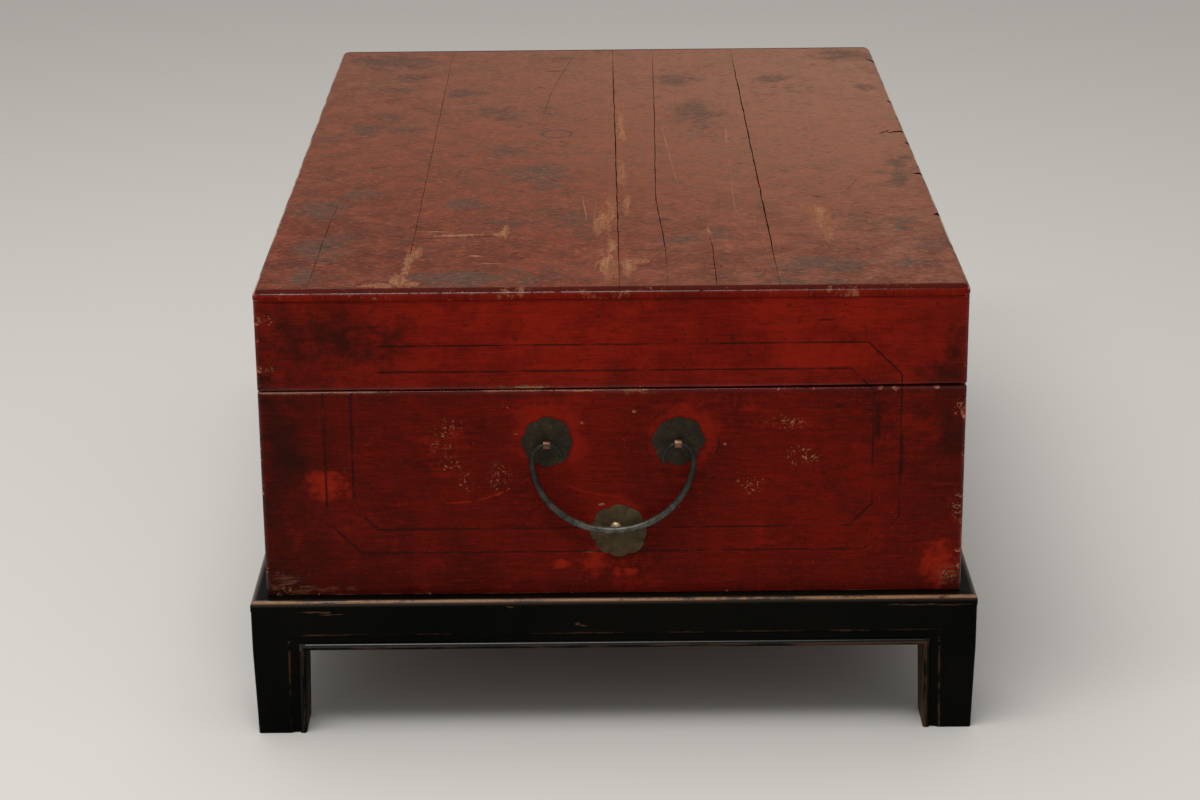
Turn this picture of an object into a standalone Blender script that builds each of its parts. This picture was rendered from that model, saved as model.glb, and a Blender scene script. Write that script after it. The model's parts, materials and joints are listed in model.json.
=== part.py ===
"""A red-lacquered trunk with a hinged lid, standing loose on a low black stand.

The trunk is boxed from thin boards with through dovetails, and its lid is boxed the same way under
lengthwise top boards.  Each end carries an iron bail on two brass split pins, one long side the
hinges and the other the hasp.  Metres, +Z up, +Y along the trunk, origin on the floor under the
middle; the near end faces -Y and the lock faces +X.
"""
from math import asin, atan2, cos, hypot, pi, radians, sin

import bmesh
import bpy
from mathutils import Vector

# Clearances
GAP = 0.0003             # between pieces that touch
RUNNING_GAP = 0.0002     # between a pin and the strip rolled round it
SEAM = 0.0008            # between the base and the closed lid
OVERCUT = 0.003          # how far a cutter reaches past the face it opens

# Facets of the round stretches
QUARTER_FACETS = 4       # a quarter round along an edge or at a strip's end
BEAD_FACETS = 6
COVE_FACETS = 3
TURNED_SIDES = 12
EYE_FACETS = 14          # the ring of a split pin
ROLL_FACETS = 12         # a strip rolled over its pin
PETAL_FACETS = 6
BOW_FACETS = 26
HOOK_FACETS = 10
LOCK_FACETS = 24
SHARP = radians(35)      # edges that bend more than this stay crisp

# Trunk boards
TRUNK_WIDTH = 0.500
TRUNK_LENGTH = 0.800
BASE_HEIGHT = 0.155
LID_HEIGHT = 0.073
BOARD = 0.014            # thickness of the end and side boards
TAIL_PITCH = 0.036       # aimed spacing of the dovetails
TAIL_WIDTH = 0.021       # a tail across its wide tip
TAIL_FLARE = 0.0024      # how much a tail narrows on each side at its root
TOP_BOARD = 0.007        # thickness of the lid's top boards
TOP_OVERHANG = 0.001
TOP_NOSE = 0.005         # radius of the rounded top edge
TOP_JOINTS = (-0.145, 0.006, 0.118)
BOTTOM_BOARD = 0.010
BOTTOM_BOARDS = 4
BOTTOM_RISE = 0.006      # underside of the bottom boards above the lower edge of the base
GROOVE = 0.005           # depth of the groove that holds the bottom boards
GROOVE_STOP = 0.002      # how far the groove stops short of the corner joint

# Stand
SIDE_LIP = 0.011         # how far the stand shows beyond the trunk's sides
END_LIP = 0.010          # and beyond its ends
STAND_HEIGHT = 0.104
FRAME_THICKNESS = 0.007
FRAME_WIDTH = 0.060
FRAME_ROUND = 0.003
APRON_HEIGHT = 0.031
APRON_THICKNESS = 0.018
LEG = 0.038              # a leg's width beside the aprons
LEG_FOOT = 0.0345        # and at the floor
LEG_ROUND = 0.002
BEAD = 0.005             # width of the bead along the aprons and down the legs
BEAD_PROUD = 0.0005      # bead in front of the face
COVE = 0.007             # width of the hollow between the face and the bead
COVE_DEPTH = 0.0018
TENON_LENGTH = 0.010     # apron tenons into the legs
TENON_THICKNESS = 0.008
TENON_SET = 0.005        # tenon behind the apron's face and inside its edges
LEG_TENON = 0.012        # square tenon of a leg into the frame
LEG_TENON_HEIGHT = 0.0045
BATTEN_WIDTH = 0.035
BATTEN_DEPTH = 0.018
BATTEN_INSET = 0.244     # middle of a batten from the stand's end
BATTEN_HOUSING = 0.007   # how far a batten is let into the long aprons

# Split pins folded from brass strip
STRIP = 0.0011
STRIP_WIDTH = 0.0052
STRIP_SLIT = 0.0005
CLENCH = 0.010           # length of each tail bent flat inside the board

# Bail handles
PLATE = 0.0012           # thickness of every cut plate
PETALS = 8
PETAL_NOTCH = 0.0014
PLATE_RADIUS = 0.0186
REST_PLATE_RADIUS = 0.0206
HANDLE_DROP = 0.0385     # pivot below the top edge of the base
BAIL_WIDTH = 0.1145
BAIL_DROP = 0.065        # pivot to the bow
HOOK_RADIUS = 0.0108
HOOK_TAIL = radians(22)  # how far a hook curls on past the level of its centre
ROD_BOW = 0.0050
ROD_HOOK = 0.0029
EYE_PLAY = 0.0006
EYE_STANDOFF = 0.0076    # pivot in front of the board
STUD_RADIUS = 0.0045
STUD_SHANK = 0.0014
STUD_LENGTH = 0.009      # shank inside the board
STUD_ARC = radians(80)   # how far the dome rounds over to its flat crown
STUD_SIDE = 0.002
REST_PLATE_SIDE = 0.0039
REST_PLATE_DROP = 0.003  # plate's centre below its stud

# Hinges
HINGE_INSET = 0.140      # middle of a hinge from the trunk's end
HINGE_PIN = 0.0040
LEAF = 0.0012
LEAF_WIDTH = 0.048
LEAF_HEIGHT = 0.034
LEAF_CLIP = 0.007        # corner clipped off the free edge
KNUCKLES = 3
PIN_PROUD = 0.0008
ROLL = radians(280)

# Lock
LOCK_RADIUS = 0.045
HASP_RISE = 0.014        # hasp pin above the seam
HASP_STANDOFF = 0.006
HASP_PIN = 0.003
HASP = 0.0015            # thickness
HASP_WIDTH = 0.020
HASP_END = 0.011         # hasp below its slot
HASP_ROUND = 0.008
SLOT_PLAY = 0.0013
STAPLE_DROP = 0.026      # staple below the top edge of the base
STAPLE_STANDOFF = 0.0055
STAPLE_BORE = 0.0046

# Places worked out from the sizes above
STAND_WIDTH = TRUNK_WIDTH + 2 * SIDE_LIP
STAND_LENGTH = TRUNK_LENGTH + 2 * END_LIP
FRAME_UNDERSIDE = STAND_HEIGHT - FRAME_THICKNESS
APRON_TOP = FRAME_UNDERSIDE - GAP
APRON_FOOT = APRON_TOP - APRON_HEIGHT
TRUNK_FLOOR = STAND_HEIGHT + GAP
BASE_TOP = TRUNK_FLOOR + BASE_HEIGHT
LID_FLOOR = BASE_TOP + SEAM
RIM_HEIGHT = LID_HEIGHT - TOP_BOARD - GAP
PIVOT_HEIGHT = BASE_TOP - HANDLE_DROP
POST_PLACE = BAIL_WIDTH / 2 - HOOK_RADIUS
HINGE_BORE = HINGE_PIN / 2 + RUNNING_GAP
HINGE_STANDOFF = GAP + LEAF + HINGE_BORE
HASP_BORE = HASP_PIN / 2 + RUNNING_GAP
HASP_AXIS_HEIGHT = LID_FLOOR + HASP_RISE
STAPLE_HEIGHT = BASE_TOP - STAPLE_DROP
FACES = ("front", "right", "back", "left")


def finish(name, colour, roughness, metallic=0.0):
    material = bpy.data.materials.new(name)
    material.use_nodes = True
    shader = material.node_tree.nodes["Principled BSDF"]
    shader.inputs["Base Color"].default_value = (*colour, 1.0)
    shader.inputs["Roughness"].default_value = roughness
    shader.inputs["Metallic"].default_value = metallic
    material.diffuse_color = (*colour, 1.0)
    return material


def standing_point(name, where, parent=None):
    """An empty that carries one body of the object, at a place in the object's frame."""
    empty = bpy.data.objects.new(name, None)
    bpy.context.collection.objects.link(empty)
    place(empty, parent, where)
    return empty


def place(obj, parent, where, turns=0, lean=0.0):
    """Hangs an object on its empty; `where` and the quarter turns are in the object's frame."""
    carried = Vector(where)
    link = parent
    while link:
        carried -= link.location
        link = link.parent
    obj.parent = parent
    obj.location = carried
    obj.rotation_euler = (lean, 0.0, turns * pi / 2)


def solid(name, bm, material, parent, where, turns=0, lean=0.0):
    bmesh.ops.recalc_face_normals(bm, faces=bm.faces[:])
    mesh = bpy.data.meshes.new(name)
    bm.to_mesh(mesh)
    bm.free()
    mesh.materials.append(material)
    obj = bpy.data.objects.new(name, mesh)
    bpy.context.collection.objects.link(obj)
    place(obj, parent, where, turns, lean)
    return obj


def helper(name, bm, parent, where, turns=0):
    """A shape that only cuts or joins another one."""
    obj = solid(name, bm, RED_LACQUER, parent, where, turns)
    obj.hide_render = True
    obj.display_type = "WIRE"
    return obj


def combine(obj, other, operation):
    modifier = obj.modifiers.new(other.name, "BOOLEAN")
    modifier.operation = operation
    modifier.solver = "EXACT"
    modifier.object = other


def smooth(obj):
    obj.data.shade_smooth()
    obj.data.set_sharp_from_angle(angle=SHARP)


def face_centre(turns, width, length):
    """Middle of the side that faces out, that many quarter turns from the near end."""
    return ((0, -length / 2), (width / 2, 0), (0, length / 2), (-width / 2, 0))[turns]


def loft(rings):
    """A closed solid through rings of equally many points."""
    bm = bmesh.new()
    loops = [[bm.verts.new(point) for point in ring] for ring in rings]
    for low, high in zip(loops, loops[1:]):
        for i in range(len(low)):
            j = (i + 1) % len(low)
            bm.faces.new((low[i], low[j], high[j], high[i]))
    bm.faces.new(loops[0][::-1])
    bm.faces.new(loops[-1])
    return bm


def prism(outline, axis, start, end):
    """A flat outline, given in the other two axes in order, carried along one axis."""
    def ring(along):
        points = []
        for point in outline:
            coordinates = list(point)
            coordinates.insert("xyz".index(axis), along)
            points.append(coordinates)
        return points

    return loft([ring(start), ring(end)])


def block(low, high):
    """A box between two corners."""
    outline = [(low[0], low[1]), (high[0], low[1]), (high[0], high[1]), (low[0], high[1])]
    return prism(outline, "z", low[2], high[2])


def arc_steps(start, end, steps):
    """Angles from start to end, each with the share of the way."""
    return [(start + (end - start) * i / steps, i / steps) for i in range(steps + 1)]


def arc(centre, radius, start, end, steps):
    return [(centre[0] + radius * cos(angle), centre[1] + radius * sin(angle))
            for angle, _ in arc_steps(start, end, steps)]


def turned(profile, axis):
    """A turned piece from (radius, place along the axis) pairs."""
    rings = []
    for radius, along in profile:
        ring = []
        for point in arc((0, 0), radius, 0, 2 * pi, TURNED_SIDES)[1:]:
            coordinates = list(point)
            coordinates.insert("xyz".index(axis), along)
            ring.append(coordinates)
        rings.append(ring)
    return loft(rings)


def sheet(cells, front, back):
    """A closed plate made of the (row, column) cells of a grid, between two skins of points."""
    bm = bmesh.new()
    rings = [[(r, c), (r, c + 1), (r + 1, c + 1), (r + 1, c)] for r, c in cells]
    corners = sorted({corner for ring in rings for corner in ring})
    near = {corner: bm.verts.new(front(*corner)) for corner in corners}
    far = {corner: bm.verts.new(back(*corner)) for corner in corners}
    edges = {(ring[i - 1], ring[i]) for ring in rings for i in range(4)}
    for ring in rings:
        bm.faces.new([near[corner] for corner in ring])
        bm.faces.new([far[corner] for corner in ring[::-1]])
    for start, end in sorted(edges):
        if (end, start) not in edges:
            bm.faces.new((near[start], far[start], far[end], near[end]))
    return bm


def moulding():
    """The bead and the hollow behind it as (distance from the edge, height proud of the face)."""
    points = []
    for angle, _ in arc_steps(0.0, pi, BEAD_FACETS):
        points.append((BEAD / 2 * (1 - cos(angle)), (BEAD_PROUD + COVE_DEPTH) * sin(angle) - COVE_DEPTH))
    for angle, _ in arc_steps(0.0, pi / 2, COVE_FACETS)[1:]:
        points.append((BEAD + COVE * sin(angle), -COVE_DEPTH * cos(angle)))
    return points


def stand_frame(turns, length):
    """One mitred member of the top frame, its outer upper edge worn round."""
    mitre = GAP * 0.5 ** 0.5
    section = [(0.0, 0.0), (FRAME_WIDTH, 0.0), (FRAME_WIDTH, FRAME_THICKNESS)]
    section += arc((FRAME_ROUND, FRAME_THICKNESS - FRAME_ROUND), FRAME_ROUND, pi / 2, pi, QUARTER_FACETS)
    rings = [[(side * (length / 2 - mitre - inward), inward, height) for inward, height in section]
             for side in (-1, 1)]
    where = (*face_centre(turns, STAND_WIDTH, STAND_LENGTH), FRAME_UNDERSIDE)
    return solid(f"stand_frame_{FACES[turns]}", loft(rings), BLACK_LACQUER, STAND, where, turns)


def tenon_bar(length, margin):
    """The bar whose ends are an apron's two tenons, or their mortises with a margin."""
    reach = length / 2 + TENON_LENGTH + margin
    low = (-reach, TENON_SET - margin, TENON_SET - margin)
    high = (reach, TENON_SET + TENON_THICKNESS + margin, APRON_HEIGHT - TENON_SET + margin)
    return block(low, high)


def stand_apron(turns, length):
    """One apron moulded along its lower edge; returns it with the cutter for its mortises."""
    section = [(-proud, height) for height, proud in reversed(moulding())]
    section += [(APRON_THICKNESS, 0.0), (APRON_THICKNESS, APRON_HEIGHT), (0.0, APRON_HEIGHT)]
    where = (*face_centre(turns, STAND_WIDTH, STAND_LENGTH), APRON_FOOT)
    apron = solid(f"stand_apron_{FACES[turns]}", prism(section, "x", -length / 2, length / 2),
                  BLACK_LACQUER, STAND, where, turns)
    tenons = helper(f"tenons_{FACES[turns]}", tenon_bar(length, 0.0), STAND, where, turns)
    mortises = helper(f"mortises_{FACES[turns]}", tenon_bar(length, GAP), STAND, where, turns)
    combine(apron, tenons, "UNION")
    return apron, mortises


def leg_ring(height, width, risen=0):
    """A leg's section round its middle, moulded on its inner edges up to a point of the moulding."""
    profile = moulding()
    edge = [(LEG - far, -profile[max(i, risen)][1]) for i, (far, _) in enumerate(profile)]
    corner = arc((LEG_ROUND, LEG_ROUND), LEG_ROUND, pi, 1.5 * pi, QUARTER_FACETS)
    section = corner + edge[::-1] + [(LEG, LEG)] + [(y, x) for x, y in edge]
    middle = LEG / 2
    return [(middle + (x - middle) * width / LEG, middle + (y - middle) * width / LEG, height)
            for x, y in section]


def leg_tenon(margin):
    low = (LEG - LEG_TENON) / 2 - margin
    high = (LEG + LEG_TENON) / 2 + margin
    root = APRON_TOP - OVERCUT
    return block((low, low, root), (high, high, APRON_TOP + LEG_TENON_HEIGHT + margin))


def stand_leg(turns, mortises, frames):
    """A tapering leg between two aprons; its mouldings turn a mitred corner into theirs."""
    rings = [leg_ring(0.0, LEG_FOOT)]
    rings += [leg_ring(APRON_FOOT + far, LEG, i) for i, (far, _) in enumerate(moulding())]
    rings.append(leg_ring(APRON_TOP, LEG, len(moulding()) - 1))
    sides = ((-1, -1), (1, -1), (1, 1), (-1, 1))[turns]
    where = (sides[0] * STAND_WIDTH / 2, sides[1] * STAND_LENGTH / 2, 0.0)
    name = f"{'front' if sides[1] < 0 else 'back'}_{'left' if sides[0] < 0 else 'right'}"
    leg = solid(f"stand_leg_{name}", loft(rings), BLACK_LACQUER, STAND, where, turns)
    combine(leg, helper(f"leg_tenon_{name}", leg_tenon(0.0), STAND, where, turns), "UNION")
    frame_mortise = helper(f"frame_mortise_{name}", leg_tenon(GAP), STAND, where, turns)
    for neighbour in (turns, (turns - 1) % 4):
        combine(leg, mortises[neighbour], "DIFFERENCE")
        combine(frames[neighbour], frame_mortise, "DIFFERENCE")
    smooth(leg)


def batten(side, aprons):
    """A cross batten let into the two long aprons from above."""
    name = "back" if side > 0 else "front"
    where = (0.0, side * (STAND_LENGTH / 2 - BATTEN_INSET), APRON_TOP - BATTEN_DEPTH)
    reach = STAND_WIDTH / 2 - APRON_THICKNESS + BATTEN_HOUSING
    bar = block((-reach, -BATTEN_WIDTH / 2, 0.0), (reach, BATTEN_WIDTH / 2, BATTEN_DEPTH))
    solid(f"stand_batten_{name}", bar, BARE_WOOD, STAND, where)
    pocket = block((-reach - GAP, -BATTEN_WIDTH / 2 - GAP, -GAP),
                   (reach + GAP, BATTEN_WIDTH / 2 + GAP, BATTEN_DEPTH + OVERCUT))
    cutter = helper(f"batten_pocket_{name}", pocket, STAND, where)
    for apron in aprons:
        combine(apron, cutter, "DIFFERENCE")


def build_stand():
    spans = (STAND_WIDTH, STAND_LENGTH, STAND_WIDTH, STAND_LENGTH)
    frames = [stand_frame(turns, spans[turns]) for turns in range(4)]
    aprons = []
    mortises = []
    for turns in range(4):
        apron, mortise = stand_apron(turns, spans[turns] - 2 * (LEG + GAP))
        aprons.append(apron)
        mortises.append(mortise)
    for turns in range(4):
        stand_leg(turns, mortises, frames)
    for side in (-1, 1):
        batten(side, (aprons[1], aprons[3]))
    for piece in frames + aprons:
        smooth(piece)


def tail_centres(height):
    tails = max(1, round(height / TAIL_PITCH))
    return [(i + 0.5) * height / tails for i in range(tails)]


def tail_half(depth):
    """Half the width of a dovetail at a depth behind its tip."""
    return TAIL_WIDTH / 2 - TAIL_FLARE * depth / (BOARD + GAP)


def end_board(name, parent, floor, height, turns):
    """An end board with a row of flared tails at each end."""
    shoulder = TRUNK_WIDTH / 2 - BOARD - GAP
    tip = TRUNK_WIDTH / 2
    edge = [(shoulder, 0.0)]
    for centre in tail_centres(height):
        root = tail_half(BOARD + GAP)
        edge += [(shoulder, centre - root), (tip, centre - tail_half(0.0)),
                 (tip, centre + tail_half(0.0)), (shoulder, centre + root)]
    edge.append((shoulder, height))
    outline = edge + [(-x, z) for x, z in reversed(edge)]
    where = (*face_centre(turns, TRUNK_WIDTH, TRUNK_LENGTH), floor)
    return solid(name, prism(outline, "y", 0.0, BOARD), RED_LACQUER, parent, where, turns)


def side_board(name, parent, floor, height, turns):
    """A side board with the pins left standing between the sockets for the end boards' tails."""
    half = TRUNK_LENGTH / 2
    where = (*face_centre(turns, TRUNK_WIDTH, TRUNK_LENGTH), floor)
    board = solid(name, block((-half, 0.0, 0.0), (half, BOARD, height)), RED_LACQUER, parent, where, turns)
    for number, centre in enumerate(tail_centres(height), 1):
        outer = tail_half(-OVERCUT) + GAP
        inner = tail_half(BOARD + OVERCUT) + GAP
        socket = [(-OVERCUT, centre - outer), (BOARD + OVERCUT, centre - inner),
                  (BOARD + OVERCUT, centre + inner), (-OVERCUT, centre + outer)]
        for side in (-1, 1):
            shoulder = side * (half - BOARD - GAP)
            cutter = prism(socket, "x", shoulder, side * (half + OVERCUT))
            label = f"{name}_socket_{'left' if side < 0 else 'right'}_{number}"
            combine(board, helper(label, cutter, parent, where, turns), "DIFFERENCE")
    return board


def build_base():
    """The open box of the trunk; returns its two end boards and its right side board."""
    ends = [end_board(f"base_end_{FACES[turns]}", TRUNK, TRUNK_FLOOR, BASE_HEIGHT, turns)
            for turns in (0, 2)]
    sides = [side_board(f"base_side_{FACES[turns]}", TRUNK, TRUNK_FLOOR, BASE_HEIGHT, turns)
             for turns in (1, 3)]
    reach = TRUNK_WIDTH / 2 - BOARD + GROOVE
    half = TRUNK_LENGTH / 2 - BOARD - GROOVE_STOP
    low = TRUNK_FLOOR + BOTTOM_RISE
    groove = block((-reach, -half, low - GAP), (reach, half, low + BOTTOM_BOARD + GAP))
    cutter = helper("bottom_groove", groove, TRUNK, (0, 0, 0))
    for board in sides:
        combine(board, cutter, "DIFFERENCE")
    width = 2 * (half - GAP) / BOTTOM_BOARDS
    for number in range(BOTTOM_BOARDS):
        middle = (number + 0.5) * width - half + GAP
        corner = (reach - GAP, (width - GAP) / 2, BOTTOM_BOARD)
        board = block((-corner[0], -corner[1], 0.0), corner)
        solid(f"bottom_board_{number + 1}", board, BARE_WOOD, TRUNK, (0.0, middle, low))
    return ends, sides[0]


def top_board(number, left, right, nosed_left, nosed_right):
    """One lengthwise board of the lid's top, rounded over where it ends at the lid's outside."""
    half = TRUNK_LENGTH / 2 + TOP_OVERHANG
    bm = block((left, -half, 0.0), (right, half, TOP_BOARD))
    nosed = []
    for edge in bm.edges:
        middle = (edge.verts[0].co + edge.verts[1].co) / 2
        outside = abs(middle.y) > half - GAP
        outside = outside or (nosed_left and middle.x < left + GAP)
        outside = outside or (nosed_right and middle.x > right - GAP)
        if outside and middle.z > TOP_BOARD - GAP:
            nosed.append(edge)
    bmesh.ops.bevel(bm, geom=nosed, offset=TOP_NOSE, offset_type="OFFSET", segments=QUARTER_FACETS,
                    profile=0.5, affect="EDGES", clamp_overlap=False)
    where = (0.0, 0.0, LID_FLOOR + LID_HEIGHT - TOP_BOARD)
    smooth(solid(f"lid_top_board_{number}", bm, RED_LACQUER, LID, where))


def build_lid():
    """The lid's rim and top; returns its right side board."""
    for turns in (0, 2):
        end_board(f"lid_end_{FACES[turns]}", LID, LID_FLOOR, RIM_HEIGHT, turns)
    sides = [side_board(f"lid_side_{FACES[turns]}", LID, LID_FLOOR, RIM_HEIGHT, turns) for turns in (1, 3)]
    outer = TRUNK_WIDTH / 2 + TOP_OVERHANG
    lefts = (-outer,) + tuple(joint + GAP / 2 for joint in TOP_JOINTS)
    rights = tuple(joint - GAP / 2 for joint in TOP_JOINTS) + (outer,)
    for number, (left, right) in enumerate(zip(lefts, rights), 1):
        top_board(number, left, right, left == -outer, right == outer)
    return sides[0]


def split_pin(name, bore, standoff, parent, where, turns):
    """A split pin: an eye, two legs through the board and two tails clenched flat behind it."""
    inner = STRIP_SLIT / 2
    outer = inner + STRIP
    eye = bore + STRIP
    behind = BOARD + GAP
    mouth = asin(inner / bore)
    neck = asin(outer / eye)
    outline = [(behind, -outer), (behind, -CLENCH), (behind + STRIP, -CLENCH), (behind + STRIP, -inner)]
    outline += arc((-standoff, 0.0), bore, -mouth, mouth - 2 * pi, EYE_FACETS)
    outline += [(behind + STRIP, inner), (behind + STRIP, CLENCH), (behind, CLENCH), (behind, outer)]
    outline += arc((-standoff, 0.0), eye, neck, 2 * pi - neck, EYE_FACETS)
    bm = prism(outline, "x", -STRIP_WIDTH / 2, STRIP_WIDTH / 2)
    smooth(solid(name, bm, BRASS, parent, where, turns))


def split_pin_hole(name, parent, where, turns):
    half_width = STRIP_WIDTH / 2 + GAP
    half_height = STRIP_SLIT / 2 + STRIP + GAP
    bm = block((-half_width, -OVERCUT, -half_height), (half_width, BOARD + OVERCUT, half_height))
    return helper(name, bm, parent, where, turns)


def petal_plate(name, radius, parent, where, turns):
    """A flat plate scalloped into petals."""
    outline = []
    for i in range(PETALS * PETAL_FACETS):
        across = abs((i / PETAL_FACETS + 0.5) % 1 * 2 - 1)
        angle = 2 * pi * i / (PETALS * PETAL_FACETS)
        reach = radius - PETAL_NOTCH * across ** 3
        outline.append((reach * cos(angle), reach * sin(angle)))
    return solid(name, prism(outline, "y", -GAP - PLATE, -GAP), DARK_BRASS, parent, where, turns)


def bail(name, parent, where, turns):
    """A round bar forged to an elliptical bow, thinner towards its two hooked ends."""
    half = BAIL_WIDTH / 2
    drop = BAIL_DROP - HOOK_RADIUS
    path = []
    for angle, _ in arc_steps(-HOOK_TAIL, pi, HOOK_FACETS):
        path.append((-POST_PLACE + HOOK_RADIUS * cos(angle), HOOK_RADIUS * sin(angle), 0.0))
    for angle, share in arc_steps(pi, 2 * pi, BOW_FACETS)[1:-1]:
        path.append((half * cos(angle), drop * sin(angle), sin(pi * share) ** 0.5))
    for angle, _ in arc_steps(0.0, pi + HOOK_TAIL, HOOK_FACETS):
        path.append((POST_PLACE + HOOK_RADIUS * cos(angle), HOOK_RADIUS * sin(angle), 0.0))
    curve = bpy.data.curves.new(name, "CURVE")
    curve.dimensions = "3D"
    curve.bevel_depth = 1.0
    curve.bevel_resolution = 2
    curve.use_fill_caps = True
    spline = curve.splines.new("POLY")
    spline.points.add(len(path) - 1)
    for point, (across, height, stout) in zip(spline.points, path):
        point.co = (across, 0.0, height - HOOK_RADIUS, 1.0)
        point.radius = (ROD_HOOK + (ROD_BOW - ROD_HOOK) * stout) / 2
    spline.use_smooth = True
    curve.materials.append(IRON)
    obj = bpy.data.objects.new(name, curve)
    bpy.context.collection.objects.link(obj)
    place(obj, parent, where, turns)


def rest_stud(name, parent, where, turns):
    """A domed nail that the bow of the hanging bail rests against."""
    seat = GAP + PLATE + GAP
    crown = EYE_STANDOFF - ROD_BOW / 2 - GAP
    profile = [(STUD_SHANK, STUD_LENGTH), (STUD_SHANK, -seat)]
    for angle, _ in arc_steps(0.0, STUD_ARC, QUARTER_FACETS):
        height = (crown - seat) * sin(angle) / sin(STUD_ARC)
        profile.append((STUD_RADIUS * cos(angle), -seat - height))
    smooth(solid(name, turned(profile, "y"), BRASS, parent, where, turns))


def build_handle(end, turns, handle, board):
    """Everything on one end board: the bail, its split pins and plates, the rest plate and stud."""
    centre = Vector((*face_centre(turns, TRUNK_WIDTH, TRUNK_LENGTH), PIVOT_HEIGHT))
    along = Vector((cos(turns * pi / 2), sin(turns * pi / 2), 0.0))
    outward = Vector((along.y, -along.x, 0.0))
    bail(f"{end}_bail", handle, centre + outward * EYE_STANDOFF, turns)
    for side, label in ((-1, "left"), (1, "right")):
        where = centre + along * side * POST_PLACE
        split_pin(f"{end}_post_{label}", ROD_HOOK / 2 + EYE_PLAY, EYE_STANDOFF, TRUNK, where, turns)
        plate = petal_plate(f"{end}_plate_{label}", PLATE_RADIUS, TRUNK, where, turns)
        hole = split_pin_hole(f"{end}_post_hole_{label}", TRUNK, where, turns)
        combine(board, hole, "DIFFERENCE")
        combine(plate, hole, "DIFFERENCE")
    stud_place = centre + along * STUD_SIDE - Vector((0.0, 0.0, BAIL_DROP))
    rest_stud(f"{end}_rest_stud", TRUNK, stud_place, turns)
    plate_place = centre + along * REST_PLATE_SIDE - Vector((0.0, 0.0, BAIL_DROP + REST_PLATE_DROP))
    plate = petal_plate(f"{end}_rest_plate", REST_PLATE_RADIUS, TRUNK, plate_place, turns)
    bore = turned([(STUD_SHANK + GAP, STUD_LENGTH + GAP), (STUD_SHANK + GAP, -OVERCUT)], "y")
    combine(board, helper(f"{end}_stud_hole", bore, TRUNK, stud_place, turns), "DIFFERENCE")
    hole_radius = (stud_place - plate_place).length + STUD_SHANK + GAP
    hole = turned([(hole_radius, OVERCUT), (hole_radius, -OVERCUT)], "y")
    combine(plate, helper(f"{end}_rest_plate_hole", hole, TRUNK, plate_place, turns), "DIFFERENCE")


def rolled(radius, drop, turn):
    """Outward and upward places on a strip that hangs behind a pin and curls over it."""
    return -radius * cos(turn), radius * sin(turn) - drop


def hinge_leaf(name, tabs, upward, parent, where):
    """A leaf whose tabs are rolled round the hinge pin."""
    step = LEAF_WIDTH / KNUCKLES
    columns = [-LEAF_WIDTH / 2, -LEAF_WIDTH / 2 + LEAF_CLIP]
    for knuckle in range(1, KNUCKLES):
        columns += [knuckle * step - LEAF_WIDTH / 2 - GAP, knuckle * step - LEAF_WIDTH / 2 + GAP]
    columns += [LEAF_WIDTH / 2 - LEAF_CLIP, LEAF_WIDTH / 2]
    clear = HINGE_BORE + LEAF + GAP
    rows = [(LEAF_HEIGHT, 0.0), (LEAF_HEIGHT - LEAF_CLIP, 0.0), (clear, 0.0)]
    rows += [(0.0, turn) for turn, _ in arc_steps(0.0, ROLL, ROLL_FACETS)]
    last = len(columns) - 2
    cells = [(0, column) for column in range(1, last)]
    cells += [(1, column) for column in range(last + 1)]
    for row in range(2, len(rows) - 1):
        for column in range(last + 1):
            middle = (columns[column] + columns[column + 1]) / 2
            between_tabs = column in range(2, 2 * KNUCKLES, 2)
            if not between_tabs and int((middle + LEAF_WIDTH / 2) / step) in tabs:
                cells.append((row, column))

    def skin(radius):
        def point(row, column):
            out, height = rolled(radius, *rows[row])
            return columns[column], -out, upward * height
        return point

    bm = sheet(cells, skin(HINGE_BORE + LEAF), skin(HINGE_BORE))
    smooth(solid(name, bm, DARK_BRASS, parent, where, 3))


def build_hinges():
    axis_x = -TRUNK_WIDTH / 2 - HINGE_STANDOFF
    middle = {KNUCKLES // 2}
    outer = set(range(KNUCKLES)) - middle
    for side, label in ((-1, "front"), (1, "back")):
        where = (axis_x, side * (TRUNK_LENGTH / 2 - HINGE_INSET), BASE_TOP + SEAM / 2)
        hinge_leaf(f"hinge_{label}_base_leaf", outer, 1, TRUNK, where)
        hinge_leaf(f"hinge_{label}_lid_leaf", middle, -1, LID, where)
        half = LEAF_WIDTH / 2 + PIN_PROUD
        radius = HINGE_PIN / 2
        profile = [(radius - PIN_PROUD, half), (radius, half - PIN_PROUD),
                   (radius, PIN_PROUD - half), (radius - PIN_PROUD, -half)]
        smooth(solid(f"hinge_{label}_pin", turned(profile, "y"), DARK_BRASS, TRUNK, where))


def lock_plate(name, upward, parent, edge):
    """Half of the round lock plate, cut off straight along the seam."""
    outline = arc((0.0, 0.0), LOCK_RADIUS, 0.0, pi, LOCK_FACETS)
    bm = prism([(x, upward * z) for x, z in outline], "y", -GAP - PLATE, -GAP)
    return solid(name, bm, DARK_BRASS, parent, (TRUNK_WIDTH / 2, 0.0, edge), 1)


def hasp_lean():
    """How far the hanging hasp leans out to clear the nose of the staple."""
    ahead = STAPLE_STANDOFF - HASP_STANDOFF
    below = HASP_AXIS_HEIGHT - STAPLE_HEIGHT
    nose = STAPLE_BORE / 2 + STRIP
    return atan2(ahead, below) + asin((nose + HASP_BORE + HASP + GAP) / hypot(ahead, below))


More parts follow.
